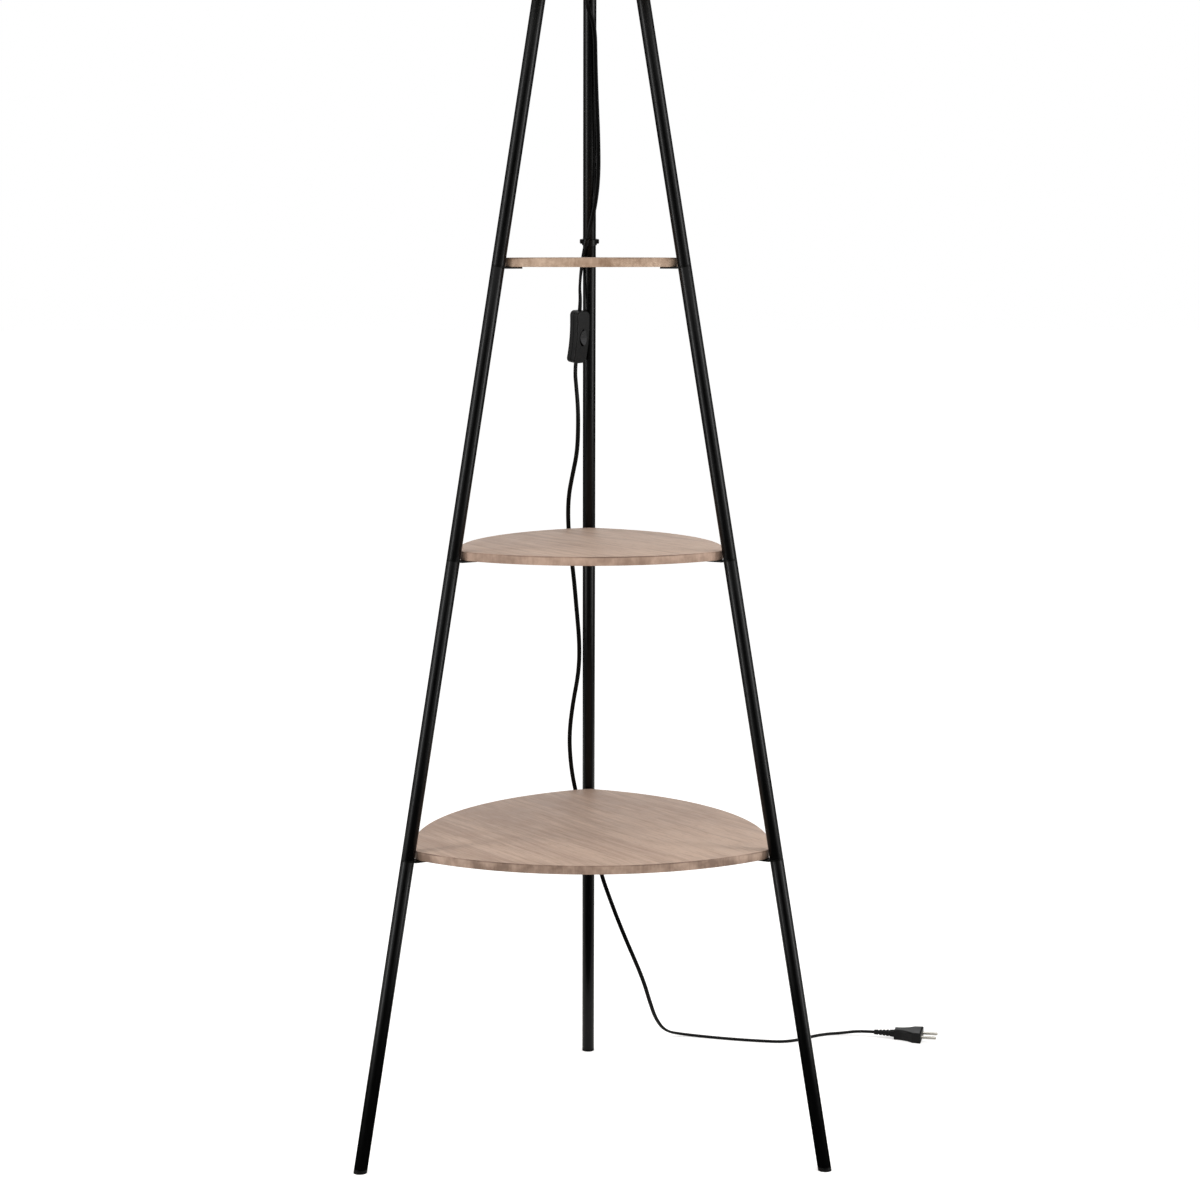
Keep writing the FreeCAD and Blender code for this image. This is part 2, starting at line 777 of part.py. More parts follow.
def beyond_switch(side, distance):
    """Point on the switch's long axis, at a distance past its upper or lower end."""
    return switch_place().multVec(Vector(0, 0, side * (switch_length / 2 + distance)))


def by_rear_leg(side, behind, height):
    """Point given from the rear leg's centre line at a height."""
    return Vector(side, leg_radius(height) + behind, height)


def clip_run():
    """Straight stretch of cord that the clip holds, upper end first."""
    return [by_rear_leg(side, -in_front, clip_height - below) for side, in_front, below in clip_cord_run]


def upper_route():
    start = Vector(0, 0, bush_bottom)
    below_bush = start - up * bush_run
    route = [start, below_bush]
    for side, out, down in upper_cord_points:
        height = below_bush.z - down * (below_bush.z - clip_height)
        route.append(Vector(side, out * leg_radius(height), height))
    route += clip_run()
    for side, in_front, below in switch_cord_points:
        route.append(by_rear_leg(side, -in_front, clip_height - below))
    return route + [beyond_switch(1, switch_run), beyond_switch(1, 0)]


def lower_route():
    route = [beyond_switch(-1, 0), beyond_switch(-1, switch_run)]
    drop = route[-1].z
    for side, behind, share in lower_cord_points:
        route.append(by_rear_leg(side, behind, share * drop))
    for right, behind, height in floor_cord_points:
        route.append(Vector(right, foot_circle_radius + behind, height))
    return route + [plug_place().multVec(Vector(-plug_run, 0, 0)), plug_place().Base]


# ---- cord clip ------------------------------------------------------------------------

def cord_clip():
    """Snap ring on the rear leg with a lug each side and a saddle over the cord."""
    inner = tube_radius + fit_gap
    outer = tube_radius + clip_wall
    centre = up_the_leg(clip_height)
    low = centre - clip_ring_height / 2
    high = centre + clip_ring_height / 2
    ring = cylinder(outer, low, high)
    lug_bar = Part.makeBox(clip_lug_size, 2 * clip_lug_reach, clip_lug_size,
                           Vector(-clip_lug_size / 2, -clip_lug_reach, high - clip_lug_size))
    lug_bar = lug_bar.makeFillet(clip_lug_round, lug_bar.Edges)
    ring = ring.fuse(lug_bar)
    ring.Placement = leg_frame(leg_bearings["rear"])
    start, end = clip_run()
    way = end - start
    middle = start + way * ((clip_height - start.z) / way.z)
    way.normalize()
    reach = clip_ring_height * 0.62
    channel_radius = cord_diameter / 2 + clip_cord_gap
    saddle = cross_cylinder(channel_radius + clip_saddle_wall, middle - way * reach, way, 2 * reach)
    channel = cross_cylinder(channel_radius, middle - way * 2 * reach, way, 4 * reach)
    bore = cylinder(inner, low - clip_ring_height, high + clip_ring_height)
    bore.Placement = leg_frame(leg_bearings["rear"])
    return ring.fuse(saddle).cut(channel).cut(bore)


# ---- in-line switch -------------------------------------------------------------------

arch_radius = ((switch_length / 2) ** 2 + switch_arch ** 2) / (2 * switch_arch)
arch_centre_y = arch_radius - switch_arch
front_y = -(switch_arch + switch_thickness / 2)


def arc_face_edge(radius, low, high):
    """Arc of the arched body in the YZ plane, convex to the front."""
    def at(z):
        return Vector(0, arch_centre_y - math.sqrt(radius ** 2 - z ** 2), z)
    return Part.Arc(at(low), at((low + high) / 2), at(high)).toShape(), at(low), at(high)


def arched_block(length, width, corner, front_radius, rear_radius):
    """Arched bar with round corners in the front view."""
    front, front_low, front_high = arc_face_edge(front_radius, -length / 2, length / 2)
    rear, rear_low, rear_high = arc_face_edge(rear_radius, -length / 2, length / 2)
    edges = [front, Part.LineSegment(front_high, rear_high).toShape(), rear,
             Part.LineSegment(rear_low, front_low).toShape()]
    face = Part.Face(Part.Wire(Part.__sortEdges__(edges)))
    face.translate(Vector(-width / 2, 0, 0))
    block = face.extrude(Vector(width, 0, 0))
    corners = [edge for edge in block.Edges
               if isinstance(edge.Curve, Part.Line) and edge.BoundBox.YLength > 1]
    return block.makeFillet(corner, corners)


def case_outside():
    body = arched_block(switch_length, switch_width, switch_corner,
                        arch_radius + switch_thickness / 2, arch_radius - switch_thickness / 2)
    faces = []
    for face in body.Faces:
        if isinstance(face.Surface, Part.Cylinder) and face.Surface.Radius > arch_radius / 2:
            faces.append(face)
    rims = [edge for face in faces for edge in face.Edges]
    return body.makeFillet(switch_edge_round, rims)


def inset_block(inset):
    """The case's outline, set in all round."""
    return arched_block(switch_length - 2 * inset, switch_width - 2 * inset, switch_corner - inset,
                        arch_radius + switch_thickness / 2 - inset, arch_radius - switch_thickness / 2 + inset)


def case_inside():
    return inset_block(switch_wall)


def parting_cylinder(extra=0.0):
    return Part.makeCylinder(arch_radius + extra, 2 * switch_width, Vector(-switch_width, arch_centre_y, 0), along_x)


def pointed_oval(length, width, near_y, far_y):
    """Prism along Y whose outline is two arcs that meet in a point at each end."""
    half_length = length / 2
    half_width = width / 2
    top = Vector(0, near_y, half_length)
    bottom = Vector(0, near_y, -half_length)
    right = Part.Arc(top, Vector(half_width, near_y, 0), bottom).toShape()
    left = Part.Arc(bottom, Vector(-half_width, near_y, 0), top).toShape()
    return Part.Face(Part.Wire([right, left])).extrude(Vector(0, far_y - near_y, 0))


def cord_entries():
    entry = cylinder(cord_diameter / 2 + cord_clearance, -switch_length / 2 - 1, switch_length / 2 + 1)
    middle = Part.makeBox(switch_width, 2 * switch_thickness, switch_length - 4 * switch_wall,
                          Vector(-switch_width / 2, -switch_thickness, -switch_length / 2 + 2 * switch_wall))
    return entry.cut(middle)


def screw_places():
    x, z = case_screw_place
    return [(x, z), (-x, -z)]


def switch_front_case():
    outside = case_outside()
    step = parting_cylinder(parting_groove).cut(inset_block(parting_groove))
    shell = outside.cut(parting_cylinder()).cut(step).cut(case_inside())
    inner_half = switch_width / 2 - switch_wall
    for side in (-1, 1):
        near = rocker_opening_width / 2 + 0.35
        rib = Part.makeBox(inner_half - near + 0.5, pivot_depth + 0.4, pivot_rib,
                           Vector(near if side > 0 else -inner_half - 0.5, front_y + switch_wall - 0.4,
                                  -pivot_rib / 2))
        shell = shell.fuse(rib)
    for x, z in screw_places():
        boss = cross_cylinder(2.3, Vector(x, front_y, z), along_y, switch_thickness)
        shell = shell.fuse(boss.common(case_inside()).cut(parting_cylinder()))
        hole = cross_cylinder(case_screw_radius + fit_gap, Vector(x, front_y + switch_wall + 1.0, z),
                              along_y, switch_thickness)
        shell = shell.cut(hole)
    opening = pointed_oval(rocker_opening_length, rocker_opening_width, front_y - 2, front_y + switch_wall + 0.5)
    bearing = cross_cylinder(pivot_pin_radius + pivot_clearance, Vector(-inner_half, rocker_pivot_y, 0),
                             along_x, 2 * inner_half)
    return shell.cut(opening).cut(bearing).cut(cord_entries())


def screw_head_seat():
    """Distance from the rear skin to the seat of a case screw's head."""
    return case_screw_head_height + 0.4


def rear_skin_y(z):
    return arch_centre_y - math.sqrt((arch_radius - switch_thickness / 2) ** 2 - z ** 2)


def switch_rear_case():
    outside = case_outside()
    shell = outside.common(parting_cylinder()).cut(case_inside())
    for x, z in screw_places():
        boss = cross_cylinder(3.1, Vector(x, front_y, z), along_y, 2 * switch_thickness)
        shell = shell.fuse(boss.common(case_inside()).common(parting_cylinder()))
    for x, z in screw_places():
        skin = rear_skin_y(z)
        clearance = cross_cylinder(case_screw_radius + 0.35, Vector(x, front_y, z), along_y, 2 * switch_thickness)
        recess = cross_cylinder(case_screw_head_radius + 0.2, Vector(x, skin - screw_head_seat(), z), along_y, 6)
        shell = shell.cut(clearance).cut(recess)
    return shell.cut(cord_entries())


def switch_screws():
    screws = []
    for x, z in screw_places():
        seat = rear_skin_y(z) - screw_head_seat()
        head = cross_cylinder(case_screw_head_radius, Vector(x, seat, z), along_y, case_screw_head_height)
        slot = Part.makeBox(2 * case_screw_head_radius, 1.0, 0.7,
                            Vector(x - case_screw_head_radius, seat + case_screw_head_height - 0.6, z - 0.35))
        shank = cross_cylinder(case_screw_radius, Vector(x, seat, z), along_y * -1, case_screw_length - 2.0)
        screws.append(head.fuse(shank).cut(slot))
    return group(screws)


def switch_rocker():
    """Rocker with a dished face and pivot pins, tipped so that its lower end stands out."""
    length = rocker_opening_length - 2 * rocker_gap_end
    width = rocker_opening_width - 2 * rocker_gap_side
    crest = front_y - rocker_proud
    rocker = pointed_oval(length, width, crest, crest + rocker_depth)
    dish_radius = ((length / 2) ** 2 + rocker_dish ** 2) / (2 * rocker_dish)
    dish = Part.makeCylinder(dish_radius, switch_width,
                             Vector(-switch_width / 2, crest + rocker_dish - dish_radius, 0), along_x)
    pin_reach = switch_width / 2 - switch_wall - 0.2
    pins = cross_cylinder(pivot_pin_radius, Vector(-pin_reach, rocker_pivot_y, 0), along_x, 2 * pin_reach)
    rocker = rocker.cut(dish).fuse(pins)
    rocker.rotate(Vector(0, rocker_pivot_y, 0), along_x, -rocker_travel / 2)
    return rocker


def switch_rocker_contact():
    """Brass strip under the rocker; it makes the circuit when its upper end is pressed."""
    back = front_y - rocker_proud + rocker_depth
    strip = Part.makeBox(4.0, 0.5, 2 * contact_place + 2.0, Vector(-2.0, back, -contact_place - 1.0))
    strip.rotate(Vector(0, rocker_pivot_y, 0), along_x, -rocker_travel / 2)
    return strip


def terminal_face():
    """Depth of the terminals' rear face, against the inside of the rear case."""
    return rear_skin_y(terminal_place - terminal_size / 2) - switch_wall - 0.15


def switch_terminals():
    """Two brass blocks on the rear case, with the upper one's fixed contact."""
    rear = terminal_face()
    depth = terminal_size - 1.0
    blocks = []
    for side in (-1, 1):
        block = Part.makeBox(terminal_size, depth, terminal_size,
                             Vector(terminal_x - terminal_size / 2, rear - depth,
                                    side * terminal_place - terminal_size / 2))
        if side > 0:
            strip = Part.makeBox(3.0, 0.6, terminal_place - contact_place,
                                 Vector(terminal_x - 2.5, rear - 1.2, contact_place))
            block = block.fuse(strip)
        wire_hole = core_at_terminal(side, core_radius + fit_gap)
        blocks.append(block.cut(wire_hole))
    return group(blocks)


def core_at_terminal(side, radius):
    """Straight end of a core, from outside a terminal to the bottom of its bore."""
    outside = side * (terminal_place + terminal_size / 2)
    deep = outside - side * terminal_bore
    far = outside + side * 1.0
    depth = terminal_face() - terminal_size / 2 + 0.3
    return cylinder(radius, min(deep, far), max(deep, far), terminal_x, depth)


def core_run(start, end):
    return cross_cylinder(core_radius, start, end - start, (end - start).Length)


def switch_conductors():
    """Both cord ends in the case, their cores, and the core that runs straight through."""
    end = switch_length / 2
    terminal_depth = terminal_face() - terminal_size / 2 + 0.3
    solids = []
    for side in (-1, 1):
        inner_end = side * (end - cord_stub)
        outer_end = side * end
        solids.append(cylinder(cord_diameter / 2, min(inner_end, outer_end), max(inner_end, outer_end)))
        fork = inner_end + side * 0.6
        knee = Vector(through_core_x, -0.6, side * (terminal_place - 0.5))
        solids.append(core_run(Vector(-0.9, 0, fork), knee))
        solids.append(Part.makeSphere(core_radius, knee))
        tail = Vector(terminal_x, terminal_depth, side * (terminal_place + terminal_size / 2 + 1.0))
        solids.append(core_run(Vector(0.9, 0, fork), tail))
        solids.append(Part.makeSphere(core_radius, tail))
        solids.append(core_at_terminal(side, core_radius))
    straight = terminal_place - 0.5
    solids.append(cylinder(core_radius, -straight, straight, through_core_x, -0.6))
    return solids[0].fuse(solids[1:])


def switch_cord_clamps():
    """A bar over each cord end."""
    bars = []
    for side in (-1, 1):
        z = side * (switch_length / 2 - 5.6)
        bars.append(Part.makeBox(clamp_length, clamp_bar, 3.2,
                                 Vector(-clamp_length / 2, -cord_diameter / 2 - clamp_bar - fit_gap, z - 1.6)))
    return group(bars)


# ---- plug -----------------------------------------------------------------------------

def plug_place():
    """Where the cord enters the plug, which lies on the floor."""
    start = Vector(plug_to_right, foot_circle_radius + plug_behind_foot, plug_thickness / 2)
    return Placement(start, Rotation(up, plug_heading))


def plug_relief():
    """Tapered cord relief along X, with flexing grooves."""
    low = plug_relief_tip / 2
    high = plug_relief_base / 2
    relief = Part.makeCone(low, high, plug_relief_length, origin, along_x)
    for number in range(4):
        place = 5.0 + 4.6 * number
        radius = low + (high - low) * place / plug_relief_length
        groove = cross_cylinder(radius + 2, Vector(place, 0, 0), along_x, 1.6)
        core = cross_cylinder(radius - 0.8, Vector(place - 1, 0, 0), along_x, 4)
        relief = relief.cut(groove.cut(core))
    return relief


def plug_outline():
    """Half of the plug's body seen from above, waisted behind its flat front."""
    rear = plug_relief_length
    front = rear + plug_body_length
    neck = plug_neck_width / 2
    wide = plug_width / 2
    waist = Part.Arc(Vector(rear, neck, 0), Vector(rear + 13, neck + 1.4, 0), Vector(front - 12, wide - 1.5, 0)).toShape()
    side = Part.LineSegment(Vector(front - 12, wide - 1.5, 0), Vector(front, wide, 0)).toShape()
    face = Part.LineSegment(Vector(front, wide, 0), Vector(front, -wide, 0)).toShape()
    other_side = Part.LineSegment(Vector(front, -wide, 0), Vector(front - 12, -wide + 1.5, 0)).toShape()
    other_waist = Part.Arc(Vector(front - 12, -wide + 1.5, 0), Vector(rear + 13, -neck - 1.4, 0), Vector(rear, -neck, 0)).toShape()
    back = Part.LineSegment(Vector(rear, -neck, 0), Vector(rear, neck, 0)).toShape()
    return Part.Face(Part.Wire([waist, side, face, other_side, other_waist, back]))


def plug_pin_solids(grow=0.0):
    front = plug_relief_length + plug_body_length
    pins = []
    for side in (-1, 1):
        start = Vector(front - pin_root, side * pin_spacing / 2, 0)
        pin = cross_cylinder(pin_diameter / 2 + grow, start, along_x, pin_root + pin_length)
        pins.append(pin)
    return pins


def plug_pins():
    pins = []
    for pin in plug_pin_solids():
        tip = pin.Edges
        far = max(pin.BoundBox.XMax for edge in tip)
        rim = [edge for edge in tip if edge.BoundBox.XMin > far - 1e-3]
        pins.append(pin.makeFillet(1.2, rim))
    return group(pins)


def plug_body():
    slab = plug_outline().extrude(Vector(0, 0, plug_thickness))
    slab.translate(Vector(0, 0, -plug_thickness / 2))
    for pin in plug_pin_solids(fit_gap):
        slab = slab.cut(pin)
    rims = [edge for edge in slab.Edges
            if edge.BoundBox.ZLength < 1e-6 and abs(edge.BoundBox.ZMax) > plug_thickness / 2 - 1e-3]
    slab = slab.makeFillet(plug_edge_round, rims)
    return slab.fuse(plug_relief())


# ---- writing the pieces ---------------------------------------------------------------

def placed(shape, place):
    moved = shape.copy()
    moved.Placement = place.multiply(moved.Placement)
    return moved


def build_legs():
    inserts = []
    studs = []
    for name, bearing in leg_bearings.items():
        frame = leg_frame(bearing)
        for number, (low, high) in enumerate(section_ends(), 1):
            save("leg_%s_tube_%d" % (name, number), placed(leg_tube(low, high), frame))
        save("foot_cap_" + name, level_sole(placed(foot_cap(), frame)))
        inserts += [placed(sleeve, frame) for sleeve in tube_inserts()]
        for height in joint_heights + [head_joint_height]:
            studs.append(placed(joint_stud(up_the_leg(height)), frame))
    save("tube_inserts", group(inserts))
    save("joint_studs", group(studs))


def build_shelves():
    screws = []
    for shelf, underside in shelf_undersides.items():
        save("shelf_" + shelf, shelf_board(underside, board_bulges[shelf]))
        for name, bearing in leg_bearings.items():
            place = joint_place(bearing, joint_height(underside))
            save("bracket_%s_%s" % (shelf, name), placed(shelf_bracket(), place))
            spot = Rotation(up, bearing).multVec(
                Vector(screw_radius_on_shelf(underside), 0, underside - bracket_thickness))
            screws.append(placed(shelf_screw(), Placement(spot, Rotation())))
    save("shelf_screws", group(screws))


def build_head():
    save("leg_head", leg_head())
    save("lamp_pipe", lamp_pipe())
    save("pipe_nuts", group([pipe_nut(lower_nut_bottom), pipe_nut(head_top)]))
    save("cord_bush", cord_bush())
    save("holder_cap", holder_cap())
    save("holder_body", holder_body())
    save("holder_insulator", holder_insulator())
    save("holder_screw_shell", holder_screw_shell())
    save("holder_contact", holder_contact())
    save("holder_leads", holder_leads())
    save("shade_ring", shade_ring())


def build_shade_and_bulb():
    save("shade_cover", shade_cover())
    save("shade_upper_ring", shade_upper_ring())
    save("shade_lower_frame", shade_lower_frame())
    save("bulb_cap", bulb_cap())
    save("bulb_glass", bulb_glass())


def build_cord():
    save("cord_upper", cord_tube("cord_upper", upper_route()))
    save("cord_lower", cord_tube("cord_lower", lower_route()))
    save("cord_clip", cord_clip())
    place = switch_place()
    save("switch_front_case", placed(switch_front_case(), place))
    save("switch_rear_case", placed(switch_rear_case(), place))
    save("switch_screws", placed(switch_screws(), place))
    save("switch_rocker", placed(switch_rocker(), place))
    save("switch_rocker_contact", placed(switch_rocker_contact(), place))
    save("switch_terminals", placed(switch_terminals(), place))
    save("switch_conductors", placed(switch_conductors(), place))
    save("switch_cord_clamps", placed(switch_cord_clamps(), place))
    save("plug_body", placed(plug_body(), plug_place()))
    save("plug_pins", placed(plug_pins(), plug_place()))
    pivot = place.multVec(Vector(0, rocker_pivot_y, 0))
    pivot_way = place.Rotation.multVec(along_x)
    print("rocker pivot", [round(value, 3) for value in pivot], "axis", [round(value, 5) for value in pivot_way])


build_legs()
build_shelves()
build_head()
build_shade_and_bulb()
build_cord()
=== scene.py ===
import bpy
import math
from mathutils import Matrix, Vector


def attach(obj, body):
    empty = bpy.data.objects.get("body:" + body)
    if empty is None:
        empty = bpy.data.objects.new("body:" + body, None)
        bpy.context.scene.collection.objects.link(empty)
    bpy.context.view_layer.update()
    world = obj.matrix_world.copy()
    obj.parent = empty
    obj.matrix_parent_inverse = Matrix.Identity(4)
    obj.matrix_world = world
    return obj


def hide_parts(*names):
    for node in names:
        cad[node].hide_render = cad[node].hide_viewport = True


# Shelf floor lamp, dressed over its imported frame. Metres, +Z up, the front towards -Y.
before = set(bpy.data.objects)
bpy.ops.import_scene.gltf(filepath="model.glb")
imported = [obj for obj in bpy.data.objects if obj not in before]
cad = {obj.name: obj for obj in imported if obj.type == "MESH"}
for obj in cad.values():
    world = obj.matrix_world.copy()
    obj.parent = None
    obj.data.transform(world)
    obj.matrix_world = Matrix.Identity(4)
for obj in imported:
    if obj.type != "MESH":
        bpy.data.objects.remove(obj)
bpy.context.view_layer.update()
print("frame loaded:", len(cad), "nodes")


# camera

cameraSetup = {
    "place": (-0.03783, -2.95961, 1.01458),
    "aim": (0.01614187, 0.99107242, -0.13234384),
    "lens": 79.0,           # millimetres, and so is the sensor
    "sensor": 36.0,
    "farthest": 100.0,
}

bpy.ops.object.camera_add(location=cameraSetup["place"])
camera = bpy.context.object
camera.name = "camera"
camera.rotation_euler = Vector(cameraSetup["aim"]).to_track_quat("-Z", "Y").to_euler()
camera.data.lens = cameraSetup["lens"]
camera.data.sensor_width = cameraSetup["sensor"]
camera.data.clip_end = cameraSetup["farthest"]
bpy.context.scene.camera = camera
bpy.context.scene.view_settings.view_transform = "Standard"


def linear(hexColour):
    # #rrggbb as the linear colour that a shader takes
    value = hexColour.lstrip("#")
    parts = [int(value[i:i + 2], 16) / 255 for i in (0, 2, 4)]
    parts = [p / 12.92 if p <= 0.04045 else ((p + 0.055) / 1.055) ** 2.4 for p in parts]
    return (*parts, 1.0)


def add(tree, kind, inputs=None, **settings):
    # one node with its settings; an input is a number, a colour or another node's output
    node = tree.nodes.new(kind)
    for key, value in settings.items():
        setattr(node, key, value)
    for key, value in (inputs or {}).items():
        if isinstance(value, bpy.types.NodeSocket):
            tree.links.new(value, node.inputs[key])
        else:
            node.inputs[key].default_value = value
    return node


def newMaterial(name, **sockets):
    # a Principled material; the constants go straight on its sockets
    material = bpy.data.materials.new(name)
    material.use_nodes = True
    tree = material.node_tree
    shader = tree.nodes["Principled BSDF"]
    for key, value in sockets.items():
        shader.inputs[key.replace("_", " ")].default_value = value
    return material, tree, shader


# stage: a white room, a pale floor, three softboxes and four black flags

stageSetup = {
    "roomColour": "#ffffff",
    "skyLight": 0.58,       # what the room gives the object; where it is seen or mirrored it is 1
    "floorColour": "#f4f3f1",
    "floorSize": 60,
    "floorLift": 0.5,       # what the camera sees on top, so that the unshaded floor is white
    "lightAim": (0, 0, 0.8),
    "softboxes": {          # place, width, height, watts
        "left_softbox": ((-2.1, -1.1, 1.1), 0.55, 2.2, 26.0),
        "right_softbox": ((2.2, -0.85, 1.1), 0.55, 2.2, 28.0),
        "top_softbox": ((0.3, -0.6, 3.4), 1.8, 1.8, 18.0),
    },
    "flagColour": "#020202",
    "flags": {              # place, degrees about X and Z, width, height
        "front_flag": ((0, -4.2, 1.2), (90, 0), 4.6, 3.4),
        "floor_flag": ((0, -1.35, 0.004), (0, 0), 2.4, 3.1),
        "left_flag": ((-1.04, 1.27, 1.0), (90, 80.5), 1.9, 2.4),
        "right_flag": ((1.04, 1.27, 1.0), (90, -80.5), 1.9, 2.4),
    },
}

world = bpy.data.worlds.new("studio")
bpy.context.scene.world = world
world.use_nodes = True
tree = world.node_tree
rays = add(tree, "ShaderNodeLightPath")
seen = rays.outputs["Is Camera Ray"]
for ray in ("Is Glossy Ray", "Is Transmission Ray"):
    seen = add(tree, "ShaderNodeMath", {0: seen, 1: rays.outputs[ray]}, operation="MAXIMUM").outputs[0]
strength = add(tree, "ShaderNodeMapRange", {"Value": seen, "To Min": stageSetup["skyLight"], "To Max": 1.0})
background = tree.nodes["Background"]
background.inputs["Color"].default_value = linear(stageSetup["roomColour"])
tree.links.new(strength.outputs["Result"], background.inputs["Strength"])

floorMaterial, tree, shader = newMaterial("pale studio floor", Roughness=0.9, Specular_IOR_Level=0.1,
                                          Base_Color=linear(stageSetup["floorColour"]),
                                          Emission_Color=linear(stageSetup["roomColour"]))
rays = add(tree, "ShaderNodeLightPath")
lift = add(tree, "ShaderNodeMath", {0: rays.outputs["Is Camera Ray"], 1: stageSetup["floorLift"]},
           operation="MULTIPLY")
tree.links.new(lift.outputs[0], shader.inputs["Emission Strength"])

bpy.ops.mesh.primitive_plane_add(size=stageSetup["floorSize"], location=(0, 0, 0))
floor = bpy.context.object
floor.name = "studio_floor"
floor.data.materials.append(floorMaterial)


def softbox(name, place, width, height, power):
    # an area lamp aimed at the lamp's middle
    bpy.ops.object.light_add(type="AREA", location=place)
    light = bpy.context.object
    light.name = name
    light.data.shape = "RECTANGLE"
    light.data.size = width
    light.data.size_y = height
    light.data.energy = power
    aim = Vector(stageSetup["lightAim"]) - Vector(place)
    light.rotation_euler = aim.to_track_quat("-Z", "Y").to_euler()
    light.visible_camera = False


for name, values in stageSetup["softboxes"].items():
    softbox(name, *values)

flagMaterial = newMaterial("black studio cloth", Base_Color=linear(stageSetup["flagColour"]),
                           Roughness=1.0, Specular_IOR_Level=0.0)[0]


def blackFlag(name, place, turn, width, height):
    # a cloth that only reflections see: the black tubes keep a dark middle and dark rims, with the softboxes
    # as two bands between them
    bpy.ops.mesh.primitive_plane_add(size=1, location=place,
                                     rotation=(math.radians(turn[0]), 0, math.radians(turn[1])))
    flag = bpy.context.object
    flag.name = name
    flag.scale = (width, height, 1)
    flag.visible_camera = False
    flag.visible_diffuse = False
    flag.visible_shadow = False
    flag.data.materials.append(flagMaterial)


for name, values in stageSetup["flags"].items():
    blackFlag(name, *values)
print("camera, floor and lights placed")


# materials: sizes of patterns in metres, gloss as the lowest and highest roughness

noiseSpan = (0.3, 0.7)      # where nearly all of a noise lies


def objectPoint(tree, scale=(1, 1, 1), turn=0.0):
    # object coordinates, scaled and turned about Z
    place = add(tree, "ShaderNodeTexCoord")
    return add(tree, "ShaderNodeMapping", {"Vector": place.outputs["Object"], "Scale": scale,
                                           "Rotation": (0, 0, math.radians(turn))}).outputs[0]


def roughWith(tree, shader, point, patch, gloss):
    # roughness that drifts between two values over patches of a real size
    noise = add(tree, "ShaderNodeTexNoise", {"Vector": point, "Scale": 1 / patch, "Detail": 3.0})
    drift = add(tree, "ShaderNodeMapRange", {"Value": noise.outputs[0],
                                             "From Min": noiseSpan[0], "From Max": noiseSpan[1],
                                             "To Min": gloss[0], "To Max": gloss[1]})
    tree.links.new(drift.outputs["Result"], shader.inputs["Roughness"])


coatSetup = {
    "patch": 0.03,          # over which the gloss drifts
    "peel": 0.0012,         # between the dimples of the skin
    "relief": 0.00004,
}


def coatedSteel(name, colour, gloss, specular):
    # powder coat: a fine orange-peel skin that breaks up the highlights
    material, tree, shader = newMaterial(name, Base_Color=linear(colour), Specular_IOR_Level=specular)
    point = objectPoint(tree)
    roughWith(tree, shader, point, coatSetup["patch"], gloss)
    peel = add(tree, "ShaderNodeTexNoise", {"Vector": point, "Scale": 1 / coatSetup["peel"], "Detail": 1.0})
    skin = add(tree, "ShaderNodeBump", {"Height": peel.outputs[0], "Distance": coatSetup["relief"]})
    tree.links.new(skin.outputs[0], shader.inputs["Normal"])
    return material


plasticSetup = {
    "patch": 0.012,
    "relief": 0.00003,
}


def mouldedPlastic(name, colour, gloss, specular=0.5, grit=0.0006):
    # injection-moulded plastic with a spark-eroded grain, or pressed ceramic with its grit; both are drawn
    # several times coarser than real ones, so that they soften the highlights
    material, tree, shader = newMaterial(name, Base_Color=linear(colour), Specular_IOR_Level=specular)
    point = objectPoint(tree)
    roughWith(tree, shader, point, plasticSetup["patch"], gloss)
    grain = add(tree, "ShaderNodeTexNoise", {"Vector": point, "Scale": 1 / grit, "Detail": 2.0})
    skin = add(tree, "ShaderNodeBump", {"Height": grain.outputs[0], "Distance": plasticSetup["relief"]})
    tree.links.new(skin.outputs[0], shader.inputs["Normal"])
    return material


drawnLine = 0.002           # across the lines of a drawn surface, coarser than real ones so that they show


def bareMetal(name, colour, gloss, streak):
    # plated or drawn metal: the gloss changes in lines along Z, which are longer where streak is smaller
    material, tree, shader = newMaterial(name, Base_Color=linear(colour), Metallic=1.0)
    roughWith(tree, shader, objectPoint(tree, scale=(1, 1, streak)), drawnLine, gloss)
    return material


powderSteel = coatedSteel("powder-coated steel tube", "#040404", (0.27, 0.33), 0.2)
powderPlate = coatedSteel("powder-coated steel plate", "#060605", (0.34, 0.42), 0.1)
screwSteel = coatedSteel("blackened steel screw", "#0a0a0a", (0.3, 0.4), 0.2)
whiteWire = coatedSteel("white coated steel wire", "#ecebe8", (0.35, 0.45), 0.5)
zincSteel = bareMetal("zinc-plated steel", "#b9bbbd", (0.28, 0.42), 0.2)
brassSheet = bareMetal("brass sheet", "#cfa862", (0.25, 0.4), 0.3)
nickelPin = bareMetal("nickel-plated brass", "#c3c0b8", (0.18, 0.3), 0.3)
capMetal = bareMetal("aluminium bulb cap", "#c4c6c8", (0.25, 0.35), 0.5)
blackAbs = mouldedPlastic("satin ABS", "#131313", (0.36, 0.46), specular=0.17)
rockerAbs = mouldedPlastic("polished ABS rocker", "#18181a", (0.2, 0.28), specular=0.42)
thermoset = mouldedPlastic("thermoset holder plastic", "#0d0c0c", (0.26, 0.38), specular=0.3)
footPlastic = mouldedPlastic("soft polyethylene foot cap", "#060606", (0.4, 0.5), specular=0.12)
plugPvc = mouldedPlastic("moulded PVC plug", "#0d0d0d", (0.35, 0.45), specular=0.2)
clipNylon = mouldedPlastic("nylon cord clip", "#070707", (0.3, 0.4), specular=0.2)
steatite = mouldedPlastic("steatite insulator", "#e4e0d6", (0.55, 0.7), grit=0.0004)

